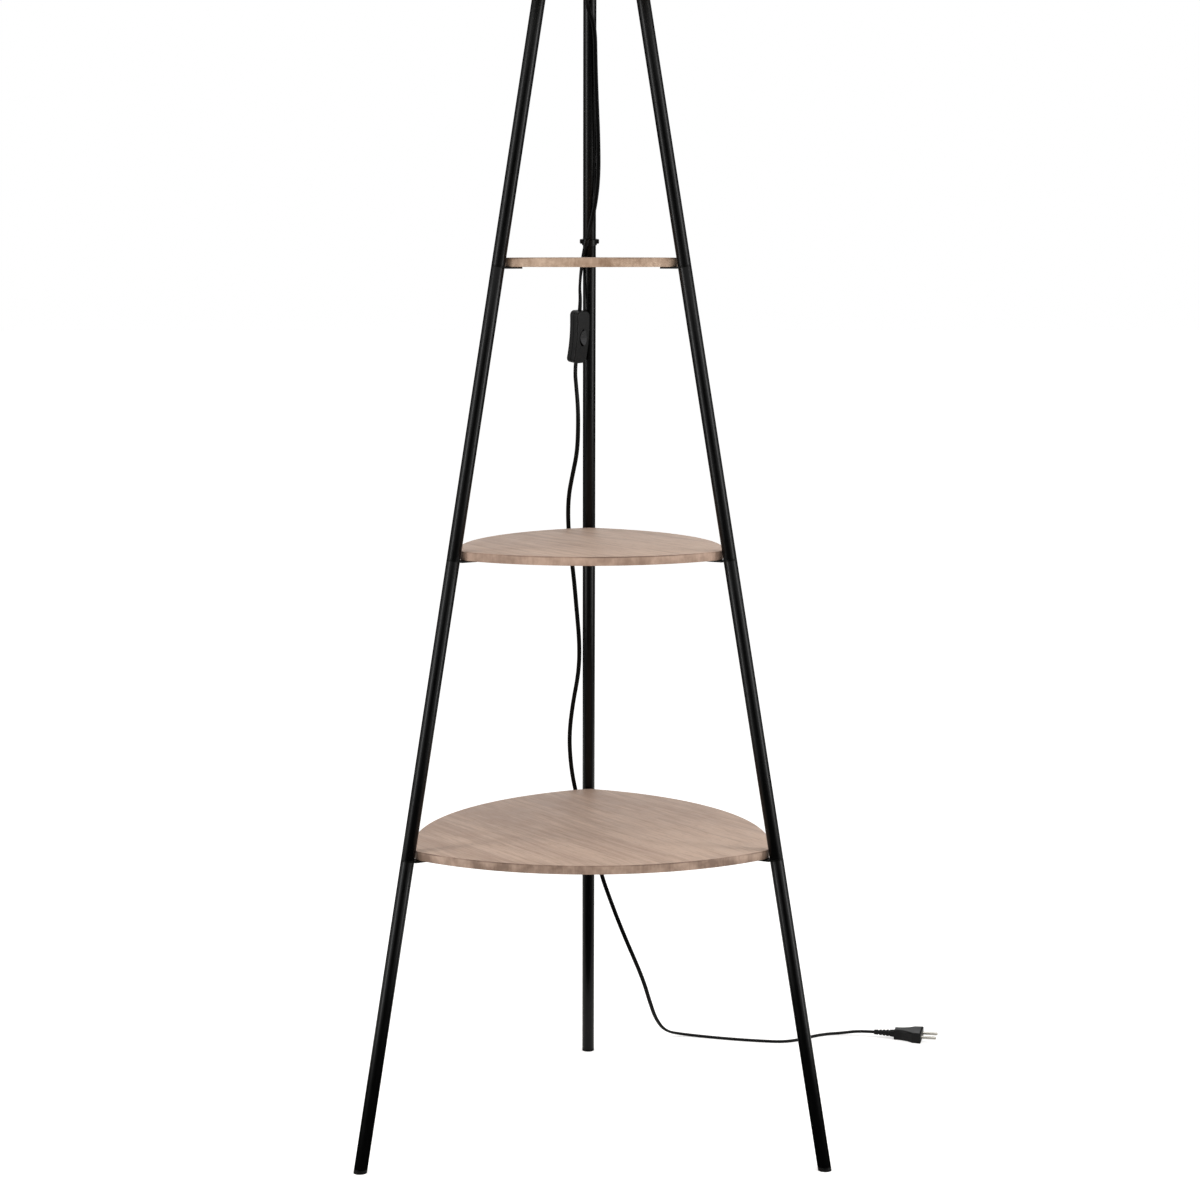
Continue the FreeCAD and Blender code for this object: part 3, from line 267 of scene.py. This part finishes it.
sheathSetup = {
    "colour": "#050505",
    "gloss": (0.34, 0.46),
    "patch": 0.02,
    "wave": 0.01,           # between the dents left by coiling
    "relief": 0.00012,
}


def cableSheath():
    # PVC cable sheath: smooth and slightly wavy, so that its highlight wanders
    material, tree, shader = newMaterial("PVC cable sheath", Base_Color=linear(sheathSetup["colour"]),
                                         Specular_IOR_Level=0.12)
    point = objectPoint(tree)
    roughWith(tree, shader, point, sheathSetup["patch"], sheathSetup["gloss"])
    wave = add(tree, "ShaderNodeTexNoise", {"Vector": point, "Scale": 1 / sheathSetup["wave"], "Detail": 2.0})
    skin = add(tree, "ShaderNodeBump", {"Height": wave.outputs[0], "Distance": sheathSetup["relief"]})
    tree.links.new(skin.outputs[0], shader.inputs["Normal"])
    return material


opalSetup = {
    "clear": "#f3f1ec",
    "milky": "#ebe9e3",
    "cloud": 0.03,
    "depth": 0.004,         # how far light spreads in the glass
}


def opalGlass():
    # opal glass envelope: milky, with a clear gloss over it
    material, tree, shader = newMaterial("opal glass", Roughness=0.16, Coat_Weight=0.5,
                                         Subsurface_Weight=0.25, Subsurface_Scale=opalSetup["depth"])
    cloud = add(tree, "ShaderNodeTexNoise", {"Vector": objectPoint(tree), "Scale": 1 / opalSetup["cloud"],
                                             "Detail": 2.0})
    tint = add(tree, "ShaderNodeMix", {0: cloud.outputs[0], 6: linear(opalSetup["clear"]),
                                       7: linear(opalSetup["milky"])}, data_type="RGBA")
    tree.links.new(tint.outputs[2], shader.inputs["Base Color"])
    return material


veneerSetup = {
    "dark": "#ae9483",
    "light": "#c8ae9b",
    "pore": "#927966",
    "turn": 57.0,               # degrees that turn the grain about Z
    "cut": (3.1, 1.7, 0.4),     # where in the pattern the boards are cut, which also places the darker side of the slow drift
    "drift": (0.5, 0.25),       # length and width of the slowest change of tone, partly the wood's own and partly painted shade
    "toneAndShadeShare": 0.45,
    "streaks": (                # length, width, share of the tone, noise settings
        (0.16, 0.03, 0.3, {"Detail": 2.0}),
        (0.09, 0.006, 0.4, {"Detail": 3.0, "Distortion": 0.3}),
        (0.05, 0.0026, 0.3, {"Detail": 3.0, "Roughness": 0.6}),
    ),
    "contrast": (0.41, 0.59),   # the part of the pattern that runs from dark to light
    "pores": (0.012, 0.0012),   # real ones are a fifth as wide, drawn coarser so that they show
    "poreSpan": (0.6, 0.72),
    "poreShare": 0.45,
    "gloss": (0.5, 0.6),
    "patch": 0.02,
    "relief": 0.00008,
}


def oakVeneer():
    # straight-grained oak veneer under a matt lacquer: soft bands, fine streaks, pores, a slow drift of tone,
    # partly painted shade
    material, tree, shader = newMaterial("grey-washed oak veneer", Specular_IOR_Level=0.3)
    grain = objectPoint(tree, turn=veneerSetup["turn"])

    def stretched(length, width, **noise):
        along = add(tree, "ShaderNodeMapping", {"Vector": grain, "Location": veneerSetup["cut"],
                                                "Scale": (1 / length, 1 / width, 1 / width)})
        return add(tree, "ShaderNodeTexNoise", {"Vector": along.outputs[0], "Scale": 1.0, **noise}).outputs[0]

    # the slow drift darkens each board towards one side: partly the wood's tone, partly painted shade
    share = veneerSetup["toneAndShadeShare"]
    total = add(tree, "ShaderNodeMath", {0: stretched(*veneerSetup["drift"], Detail=0.0), 1: share,
                                         2: -share / 2}, operation="MULTIPLY_ADD").outputs[0]
    for length, width, share, noise in veneerSetup["streaks"]:
        streak = stretched(length, width, **noise)
        total = add(tree, "ShaderNodeMath", {0: streak, 1: share, 2: total},
                    operation="MULTIPLY_ADD").outputs[0]
    contrast = add(tree, "ShaderNodeMapRange", {"Value": total, "From Min": veneerSetup["contrast"][0],
                                                "From Max": veneerSetup["contrast"][1]})
    tone = add(tree, "ShaderNodeMix", {0: contrast.outputs[0], 6: linear(veneerSetup["dark"]),
                                       7: linear(veneerSetup["light"])}, data_type="RGBA")
    pores = stretched(*veneerSetup["pores"], Detail=1.0)
    pores = add(tree, "ShaderNodeMapRange", {"Value": pores, "From Min": veneerSetup["poreSpan"][0],
                                             "From Max": veneerSetup["poreSpan"][1],
                                             "To Max": veneerSetup["poreShare"]})
    tone = add(tree, "ShaderNodeMix", {0: pores.outputs[0], 6: tone.outputs[2],
                                       7: linear(veneerSetup["pore"])}, data_type="RGBA")
    tree.links.new(tone.outputs[2], shader.inputs["Base Color"])
    roughWith(tree, shader, grain, veneerSetup["patch"], veneerSetup["gloss"])
    # the last streaks, the finest, are raised a little and catch the light
    skin = add(tree, "ShaderNodeBump", {"Height": streak, "Distance": veneerSetup["relief"]})
    tree.links.new(skin.outputs[0], shader.inputs["Normal"])
    return material


edgingSetup = {
    "blotch": 0.024,
    "tick": (0.0022, 0.0022, 0.012),    # of an upright pore, wider than a real one so that it shows
    "tickShare": 0.15,
    "contrast": (0.38, 0.62),
    "glueColour": "#5c483c",
    "glueHeights": (0.0082, 0.0092),    # above the board's underside, from nothing to full
    "gluePatch": 0.06,
    "glueSpan": (0.4, 0.6),
    "glueShares": (0.1, 0.75),
    "gloss": (0.5, 0.6),
    "patch": 0.02,
    "relief": 0.00006,
}


def oakEdging(name, low, dark, light):
    # edging cut from short lengths of oak: blotches as wide as a thumb, upright pores and, just under the
    # board's top, a dark glue line that comes and goes
    material, tree, shader = newMaterial(name, Specular_IOR_Level=0.3)
    point = objectPoint(tree)
    blotch = add(tree, "ShaderNodeTexNoise", {"Vector": point, "Scale": 1 / edgingSetup["blotch"],
                                              "Detail": 3.0, "Roughness": 0.6})
    upright = objectPoint(tree, scale=tuple(1 / size for size in edgingSetup["tick"]))
    ticks = add(tree, "ShaderNodeTexNoise", {"Vector": upright, "Scale": 1.0, "Detail": 2.0})
    share = edgingSetup["tickShare"]
    both = add(tree, "ShaderNodeMath", {0: ticks.outputs[0], 1: share}, operation="MULTIPLY")
    both = add(tree, "ShaderNodeMath", {0: blotch.outputs[0], 1: 1 - share, 2: both.outputs[0]},
               operation="MULTIPLY_ADD")
    contrast = add(tree, "ShaderNodeMapRange", {"Value": both.outputs[0],
                                                "From Min": edgingSetup["contrast"][0],
                                                "From Max": edgingSetup["contrast"][1]})
    # dark and light are the board's edging tones, which hold its painted shade
    tone = add(tree, "ShaderNodeMix", {0: contrast.outputs[0], 6: linear(dark), 7: linear(light)},
               data_type="RGBA")
    height = add(tree, "ShaderNodeSeparateXYZ", {0: point})
    rim = add(tree, "ShaderNodeMapRange", {"Value": height.outputs["Z"],
                                           "From Min": low + edgingSetup["glueHeights"][0],
                                           "From Max": low + edgingSetup["glueHeights"][1]})
    patch = add(tree, "ShaderNodeTexNoise", {"Vector": point, "Scale": 1 / edgingSetup["gluePatch"],
                                             "Detail": 1.0})
    patch = add(tree, "ShaderNodeMapRange", {"Value": patch.outputs[0],
                                             "From Min": edgingSetup["glueSpan"][0],
                                             "From Max": edgingSetup["glueSpan"][1],
                                             "To Min": edgingSetup["glueShares"][0],
                                             "To Max": edgingSetup["glueShares"][1]})
    glue = add(tree, "ShaderNodeMath", {0: rim.outputs[0], 1: patch.outputs[0]}, operation="MULTIPLY")
    tone = add(tree, "ShaderNodeMix", {0: glue.outputs[0], 6: tone.outputs[2],
                                       7: linear(edgingSetup["glueColour"])}, data_type="RGBA")
    tree.links.new(tone.outputs[2], shader.inputs["Base Color"])
    roughWith(tree, shader, point, edgingSetup["patch"], edgingSetup["gloss"])
    skin = add(tree, "ShaderNodeBump", {"Height": ticks.outputs[0], "Distance": edgingSetup["relief"]})
    tree.links.new(skin.outputs[0], shader.inputs["Normal"])
    return material


clothSetup = {
    # the weave's hollows take a painted shade and its raised threads a painted light
    "hollow": "#d8d3c7",
    "raised": "#e8e4da",
    "radius": 0.185,        # of the shade at half its height, which turns a bearing into a length
    "pitch": 0.0015,        # real threads are 0.4 mm apart, drawn coarser so that they show
    "slub": (30, 900, 1),   # to a metre along and up the cloth, so that each is long and a thread high
    "slubShare": 0.7,
    "contrast": (0.2, 1.3),
    "relief": 0.00015,
}


def wovenCotton():
    # plain-weave cotton on a stiff white liner: crossing threads, some of them thicker for a stretch, with
    # painted shade in the hollows and painted light on the raised threads
    material, tree, shader = newMaterial("woven cotton shade cloth", Roughness=0.85, Specular_IOR_Level=0.2,
                                         Sheen_Weight=0.2)
    place = add(tree, "ShaderNodeTexCoord")
    axes = add(tree, "ShaderNodeSeparateXYZ", {0: place.outputs["Object"]})
    bearing = add(tree, "ShaderNodeMath", {0: axes.outputs["Y"], 1: axes.outputs["X"]}, operation="ARCTAN2")
    along = add(tree, "ShaderNodeMath", {0: bearing.outputs[0], 1: clothSetup["radius"]},
                operation="MULTIPLY")
    cloth = add(tree, "ShaderNodeCombineXYZ", {"X": along.outputs[0], "Y": axes.outputs["Z"]})
    # a wave texture of scale 1 repeats about every 1 / pi
    threads = [add(tree, "ShaderNodeTexWave", {"Vector": cloth.outputs[0], "Distortion": 0.5,
                                               "Scale": 1 / (math.pi * clothSetup["pitch"])},
                   bands_direction=direction).outputs[1] for direction in ("X", "Y")]
    weave = add(tree, "ShaderNodeMath", {0: threads[0], 1: threads[1]}, operation="MULTIPLY")
    slub = add(tree, "ShaderNodeMapping", {"Vector": cloth.outputs[0], "Scale": clothSetup["slub"]})
    slub = add(tree, "ShaderNodeTexNoise", {"Vector": slub.outputs[0], "Scale": 1.0, "Detail": 2.0})
    both = add(tree, "ShaderNodeMath", {0: slub.outputs[0], 1: clothSetup["slubShare"], 2: weave.outputs[0]},
               operation="MULTIPLY_ADD")
    contrast = add(tree, "ShaderNodeMapRange", {"Value": both.outputs[0],
                                                "From Min": clothSetup["contrast"][0],
                                                "From Max": clothSetup["contrast"][1]})
    # painted shade in the hollows of the weave and painted light on its raised and thicker threads
    tone = add(tree, "ShaderNodeMix", {0: contrast.outputs[0], 6: linear(clothSetup["hollow"]),
                                       7: linear(clothSetup["raised"])}, data_type="RGBA")
    tree.links.new(tone.outputs[2], shader.inputs["Base Color"])
    skin = add(tree, "ShaderNodeBump", {"Height": both.outputs[0], "Distance": clothSetup["relief"]})
    tree.links.new(skin.outputs[0], shader.inputs["Normal"])
    return material


veneer = oakVeneer()
sheath = cableSheath()
opal = opalGlass()
cotton = wovenCotton()


def dress(material, *names):
    # a CAD node keeps its shape and takes the material
    for name in names:
        for holder in cad[name].material_slots:
            holder.material = material


dress(powderPlate, *("bracket_%s_%s" % (shelf, leg) for shelf in ("bottom", "middle", "top")
                     for leg in ("rear", "left", "right")))
dress(powderSteel, "leg_head")
dress(footPlastic, "foot_cap_rear", "foot_cap_left", "foot_cap_right")
dress(screwSteel, "shelf_screws")
dress(zincSteel, "tube_inserts", "joint_studs", "lamp_pipe", "pipe_nuts", "switch_screws")
dress(thermoset, "cord_bush", "holder_cap", "holder_body", "shade_ring")
dress(steatite, "holder_insulator")
dress(brassSheet, "holder_screw_shell", "holder_contact", "switch_terminals", "switch_rocker_contact")
dress(sheath, "holder_leads", "switch_conductors")
dress(whiteWire, "shade_upper_ring", "shade_lower_frame")
dress(capMetal, "bulb_cap")
dress(opal, "bulb_glass")
dress(clipNylon, "cord_clip")
dress(blackAbs, "switch_front_case", "switch_rear_case", "switch_cord_clamps")
dress(rockerAbs, "switch_rocker")
dress(plugPvc, "plug_body")
dress(nickelPin, "plug_pins")
print("materials made")


# modelling helpers

near = 0.00001      # two places this close count as one


def editing(piece, selectMode):
    # edit mode on one piece, with nothing selected
    bpy.ops.object.select_all(action="DESELECT")
    bpy.context.view_layer.objects.active = piece
    piece.select_set(True)
    bpy.ops.object.mode_set(mode="EDIT")
    bpy.ops.mesh.select_mode(type=selectMode)
    bpy.ops.mesh.select_all(action="DESELECT")


def pickFaces(piece, wanted):
    # selects the faces that wanted(centre, normal) accepts, and stays in edit mode
    bpy.ops.object.mode_set(mode="OBJECT")
    for face in piece.data.polygons:
        face.select = wanted(face.center, face.normal)
    bpy.ops.object.mode_set(mode="EDIT")


def pickEdges(piece, wanted):
    # selects the edges that wanted(one end, other end) accepts
    bpy.ops.mesh.select_mode(type="EDGE")
    bpy.ops.mesh.select_all(action="DESELECT")
    bpy.ops.object.mode_set(mode="OBJECT")
    points = piece.data.vertices
    for edge in piece.data.edges:
        edge.select = wanted(points[edge.vertices[0]].co, points[edge.vertices[1]].co)
    bpy.ops.object.mode_set(mode="EDIT")


def leaveEdit(smoothAngle):
    # faces outwards, back to object mode, and smooth up to an angle in degrees
    bpy.ops.mesh.select_all(action="SELECT")
    bpy.ops.mesh.normals_make_consistent(inside=False)
    bpy.ops.object.mode_set(mode="OBJECT")
    bpy.ops.object.shade_smooth_by_angle(angle=math.radians(smoothAngle))


def settle(piece, name, material, nodes):
    # names a finished piece, puts its place in its mesh and ties it to the frame
    piece.name = name
    piece.data.name = name
    piece.data.transform(piece.matrix_world)
    piece.matrix_world = Matrix.Identity(4)
    if material:
        piece.data.materials.clear()
        piece.data.materials.append(material)
    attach(piece, "lamp")
    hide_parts(*nodes)


# legs: four tube sections each, with a fine seam at every shelf

legSetup = {
    "footCircle": 0.2975,       # radius at which the legs' centre lines meet the floor
    "splay": math.radians(10.24),
    "bearings": {"rear": 90.0, "left": 210.0, "right": 330.0},
    "radius": 0.0075,
    "wall": 0.0012,
    "sides": 64,
    "endEase": 0.0003,          # on the rims, so that the joints show as seams
    "boreShown": 0.012,         # how deep the open ends are
    "plateHalf": 0.001,         # half of the bracket plate that a joint clamps
    "jointHeights": (0.345333, 0.674833, 0.994833),
    "headHeight": 1.362,
    "firstStart": 0.003387,     # of the lowest tubes, along the leg
    "smoothAngle": 35,
}


def legRadiusAt(height):
    # how far a leg's centre line stands from the lamp's axis
    return legSetup["footCircle"] - height * math.tan(legSetup["splay"])


def legMatrix(bearing):
    # lays a tube that is upright on the origin along its leg
    turn = Matrix.Rotation(math.radians(bearing), 4, "Z")
    return (turn @ Matrix.Translation((legSetup["footCircle"], 0, 0))
            @ Matrix.Rotation(-legSetup["splay"], 4, "Y"))


def tubeSection(low, high):
    # an open-ended tube upright on the origin, with its outer rims eased
    radius = legSetup["radius"]
    half = (high - low) / 2
    bpy.ops.mesh.primitive_cylinder_add(vertices=legSetup["sides"], radius=radius, depth=high - low,
                                        location=(0, 0, (low + high) / 2))
    tube = bpy.context.object
    editing(tube, "FACE")
    pickFaces(tube, lambda centre, normal: abs(normal.z) > 0.9)     # the two ends
    bpy.ops.mesh.inset(thickness=legSetup["wall"])
    bpy.ops.mesh.extrude_region_shrink_fatten(TRANSFORM_OT_shrink_fatten={"value": -legSetup["boreShown"]})
    pickEdges(tube, lambda a, b: abs(abs(a.z) - half) < near and abs(a.z - b.z) < near
              and math.hypot(a.x, a.y) > radius - near and math.hypot(b.x, b.y) > radius - near)
    bpy.ops.mesh.bevel(offset=legSetup["endEase"], segments=2, affect="EDGES")
    leaveEdit(legSetup["smoothAngle"])
    return tube


joints = [height / math.cos(legSetup["splay"]) for height in legSetup["jointHeights"]]
lows = [legSetup["firstStart"]] + [joint + legSetup["plateHalf"] for joint in joints]
highs = [joint - legSetup["plateHalf"] for joint in joints]
highs.append(legSetup["headHeight"] / math.cos(legSetup["splay"]))
for number, (low, high) in enumerate(zip(lows, highs), 1):
    section = tubeSection(low, high)
    section.data.transform(section.matrix_world)
    section.matrix_world = Matrix.Identity(4)
    for leg, bearing in legSetup["bearings"].items():
        tube = bpy.data.objects.new("tube", section.data.copy())
        bpy.context.collection.objects.link(tube)
        tube.data.transform(legMatrix(bearing))
        settle(tube, "tube_%s_%d" % (leg, number), powderSteel, ["leg_%s_tube_%d" % (leg, number)])
    bpy.data.objects.remove(section)
print("leg tubes made")


# shelf boards: bowed edges struck as arcs, small rounds at the legs

boardSetup = {
    "thickness": 0.010,
    "cornerRound": 0.015,
    "edgeRound": 0.0009,
    "gapToLeg": 0.0005,
    "longSteps": 48,
    "cornerSteps": 10,
    "smoothAngle": 40,
    "boards": {             # underside, rise of a bowed edge over its chord, tones of the edging, darker on the lower boards as painted shade
        "bottom": (0.345, 0.0718, "#80695a", "#b29886"),
        "middle": (0.6745, 0.0529, "#957b6a", "#bc9f8c"),
        "top": (0.9945, 0.0346, "#937761", "#c7ac95"),
    },
}


def shelfBoard(name, low, bulge, dark, light):
    # a board between the legs, whose three sides bow outwards
    top = low + boardSetup["thickness"]
    reach = legRadiusAt(top) - legSetup["radius"] / math.cos(legSetup["splay"]) - boardSetup["gapToLeg"]
    chord = reach * math.sqrt(3)
    bow = (chord ** 2 / 4 + bulge ** 2) / (2 * bulge)                           # radius of a bowed edge
    back = bow - (reach / 2 + bulge)                                            # its centre, past the board's
    small = boardSetup["cornerRound"]
    cornerOut = math.sqrt((bow - small) ** 2 - 0.75 * back ** 2) - back / 2     # a corner round's centre
    first = math.atan2(back * math.sqrt(0.75), cornerOut + back / 2)            # half the angle of its arc
    sweep = math.radians(120) - 2 * first                                       # angle of a bowed edge's arc

    def around(distance, bearing):
        angle = math.radians(bearing)
        return Vector((distance * math.cos(angle), distance * math.sin(angle), low))

    # one point, spun along the three bowed edges and the rounds between them
    bpy.ops.mesh.primitive_plane_add(size=small, location=(0, 0, 0))
    board = bpy.context.object
    editing(board, "VERT")
    bpy.ops.mesh.select_all(action="SELECT")
    bpy.ops.mesh.merge(type="CENTER")
    start = around(back, 90 + 240) + around(bow, 90 + math.degrees(first))
    bpy.ops.transform.translate(value=(start.x, start.y, low))
    for number in range(3):
        bearing = 90 + number * 120
        # spin turns clockwise about +Z, so the axis points down
        bpy.ops.mesh.spin(steps=boardSetup["longSteps"], angle=sweep, center=around(back, bearing + 240),
                          axis=(0, 0, -1))
        bpy.ops.mesh.spin(steps=boardSetup["cornerSteps"], angle=2 * first,
                          center=around(cornerOut, bearing + 120), axis=(0, 0, -1))
    bpy.ops.mesh.select_all(action="SELECT")
    bpy.ops.mesh.remove_doubles(threshold=near)
    bpy.ops.mesh.select_all(action="SELECT")
    bpy.ops.mesh.edge_face_add()
    bpy.ops.mesh.extrude_region_move(TRANSFORM_OT_translate={"value": (0, 0, boardSetup["thickness"])})
    pickEdges(board, lambda a, b: abs(a.z - b.z) < near)
    bpy.ops.mesh.bevel(offset=boardSetup["edgeRound"], segments=3, affect="EDGES")
    leaveEdit(boardSetup["smoothAngle"])
    board.data.materials.append(veneer)
    # the edging tones carry each board's painted shade, darker on the lower boards
    board.data.materials.append(oakEdging("oak edging of the %s board" % name, low, dark, light))
    for face in board.data.polygons:
        face.material_index = 1 if abs(face.normal.z) < 0.8 else 0      # edging on the sides and their rounds
    settle(board, "board_" + name, None, ["shelf_" + name])
    return board


for name, values in boardSetup["boards"].items():
    board = shelfBoard(name, *values)
    print("board", name, [round(v, 4) for v in board.dimensions], len(board.data.vertices))


# shade: cotton on a stiff liner, hemmed at both rims

shadeSetup = {
    "low": 1.345,
    "height": 0.25,
    "bottomRadius": 0.2,
    "topRadius": 0.17,
    "sides": 160,
    "clothInset": 0.0008,   # the cloth's face inside the outer radius, which leaves room for the hems
    "rimInset": 0.0005,
    "wall": 0.0011,
    "hem": 0.012,
    "hemProud": 0.0007,
    "rimRound": 0.0004,
    "thinRound": 0.4,       # share of a thinner wall that its rim rounds
    "smoothAngle": 50,
}


def shadeBand(low, high, proud, wall):
    # a band of the cone between two heights above the lower rim
    def radiusAt(height):
        share = height / shadeSetup["height"]
        radius = shadeSetup["bottomRadius"] * (1 - share) + shadeSetup["topRadius"] * share
        return radius - shadeSetup["clothInset"] + proud

    bpy.ops.mesh.primitive_cone_add(vertices=shadeSetup["sides"], radius1=radiusAt(low),
                                    radius2=radiusAt(high), depth=high - low, end_fill_type="NOTHING",
                                    location=(0, 0, shadeSetup["low"] + (low + high) / 2))
    band = bpy.context.object
    solid = band.modifiers.new("wall", "SOLIDIFY")
    solid.thickness = wall
    solid.offset = -1
    bpy.ops.object.modifier_apply(modifier="wall")
    editing(band, "EDGE")
    rounding = min(wall * shadeSetup["thinRound"], shadeSetup["rimRound"])
    half = (high - low) / 2
    pickEdges(band, lambda a, b: abs(a.z - b.z) < near and abs(a.z) > half - wall)
    bpy.ops.mesh.bevel(offset=rounding, segments=2, affect="EDGES")
    leaveEdit(shadeSetup["smoothAngle"])
    return band


cover = shadeBand(shadeSetup["rimInset"], shadeSetup["height"] - shadeSetup["rimInset"], 0.0,
                  shadeSetup["wall"])
settle(cover, "shade_cloth", cotton, ["shade_cover"])
for name, low in (("shade_hem_bottom", 0.0), ("shade_hem_top", shadeSetup["height"] - shadeSetup["hem"])):
    hem = shadeBand(low, low + shadeSetup["hem"], shadeSetup["hemProud"], shadeSetup["hemProud"])
    settle(hem, name, cotton, ["shade_cover"])
print("shade made")


# cords: flat two-core cable, 5.2 x 3.2 mm

cordSetup = {
    "thickness": 0.0032,
    "width": 0.0052,
    "upperLength": 0.432,
    "lowerLength": 1.218,
    # number of a route's point, and degrees that the flat side is turned there
    "upperTwist": ((0, 76), (10, 76), (12, 90), (14, 136), (18, 212)),
    "lowerTwist": ((0, 75), (2, 75), (5, 115), (25, 115), (29, 178), (39, 178)),
    "stepsAlong": 10,
    "stepsRound": 4,
}

upperRoute = [
    (0.0, 0.0, 1.338), (0.0, 0.0, 1.3235), (-0.0012, 0.00899, 1.30601), (-0.0028, 0.02251, 1.29787),
    (-0.004, 0.037, 1.29245), (-0.0015, 0.05303, 1.28039), (0.0055, 0.06021, 1.26109),
    (0.0062, 0.06801, 1.22099), (0.0078, 0.07548, 1.17788), (0.0097, 0.08448, 1.13687),
    (0.0101, 0.09157, 1.09587), (0.0062, 0.09496, 1.0621), (-0.0005, 0.0995, 1.036),
    (-0.0054, 0.1048, 1.015), (-0.0079, 0.1106, 1.002), (-0.0103, 0.1131, 0.984),
    (-0.0114, 0.11255, 0.969), (-0.01044, 0.11189, 0.95503), (-0.01133, 0.11343, 0.94316),
]
lowerRoute = [
    (-0.01587, 0.12129, 0.88284), (-0.01676, 0.12283, 0.87097), (-0.0156, 0.12678, 0.85704),
    (-0.0134, 0.13304, 0.83178), (-0.013, 0.13906, 0.80565), (-0.0142, 0.14501, 0.77604),
    (-0.0195, 0.15053, 0.74991), (-0.0244, 0.15685, 0.72378), (-0.0252, 0.1638, 0.69417),
    (-0.0228, 0.16952, 0.66194), (-0.0182, 0.17654, 0.62362), (-0.0145, 0.18401, 0.58007),
    (-0.0112, 0.19105, 0.54), (-0.0122, 0.1984, 0.50429), (-0.0196, 0.20494, 0.46423),
    (-0.024, 0.21198, 0.42416), (-0.022, 0.2196, 0.38584), (-0.0165, 0.23103, 0.35187),
    (-0.0085, 0.25156, 0.31965), (0.004, 0.26142, 0.28829), (0.0165, 0.26446, 0.23603),
    (0.028, 0.271, 0.20207), (0.0382, 0.27749, 0.17332), (0.0495, 0.28504, 0.14371),
    (0.061, 0.29403, 0.11497), (0.0715, 0.30492, 0.08623), (0.0795, 0.31807, 0.05661),
    (0.088, 0.33401, 0.02874), (0.101, 0.3485, 0.0085), (0.124, 0.3558, 0.0024), (0.154, 0.346, 0.0018),
    (0.19, 0.3345, 0.0018), (0.223, 0.3268, 0.0018), (0.249, 0.3226, 0.0018), (0.269, 0.3285, 0.0018),
    (0.289, 0.344, 0.0018), (0.309, 0.3555, 0.0018), (0.33, 0.3572, 0.0025), (0.35259, 0.35184, 0.00685),
    (0.372, 0.347, 0.00685),
]


def flatCord(name, node, route, twist):
    # a flat cable along a route, turned evenly from one point of the twist to the next
    curve = bpy.data.curves.new(name, "CURVE")
    curve.dimensions = "3D"
    spline = curve.splines.new("NURBS")
    spline.points.add(len(route) - 1)
    for point, place in zip(spline.points, route):
        point.co = (*place, 1.0)
    for (first, turn), (last, nextTurn) in zip(twist, twist[1:]):
        for number in range(first, last + 1):
            share = (number - first) / (last - first)
            spline.points[number].tilt = math.radians(turn + (nextTurn - turn) * share)
    spline.order_u = 3
    spline.use_endpoint_u = True
    curve.resolution_u = cordSetup["stepsAlong"]
    curve.bevel_depth = cordSetup["thickness"] / 2
    curve.bevel_resolution = cordSetup["stepsRound"]
    curve.extrude = (cordSetup["width"] - cordSetup["thickness"]) / 2
    curve.use_fill_caps = True
    curve.materials.append(sheath)
    cord = bpy.data.objects.new(name, curve)
    bpy.context.collection.objects.link(cord)
    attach(cord, "lamp")
    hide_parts(node)
    return cord


upperCord = flatCord("cable_upper", "cord_upper", upperRoute, cordSetup["upperTwist"])
lowerCord = flatCord("cable_lower", "cord_lower", lowerRoute, cordSetup["lowerTwist"])
print("cords laid")
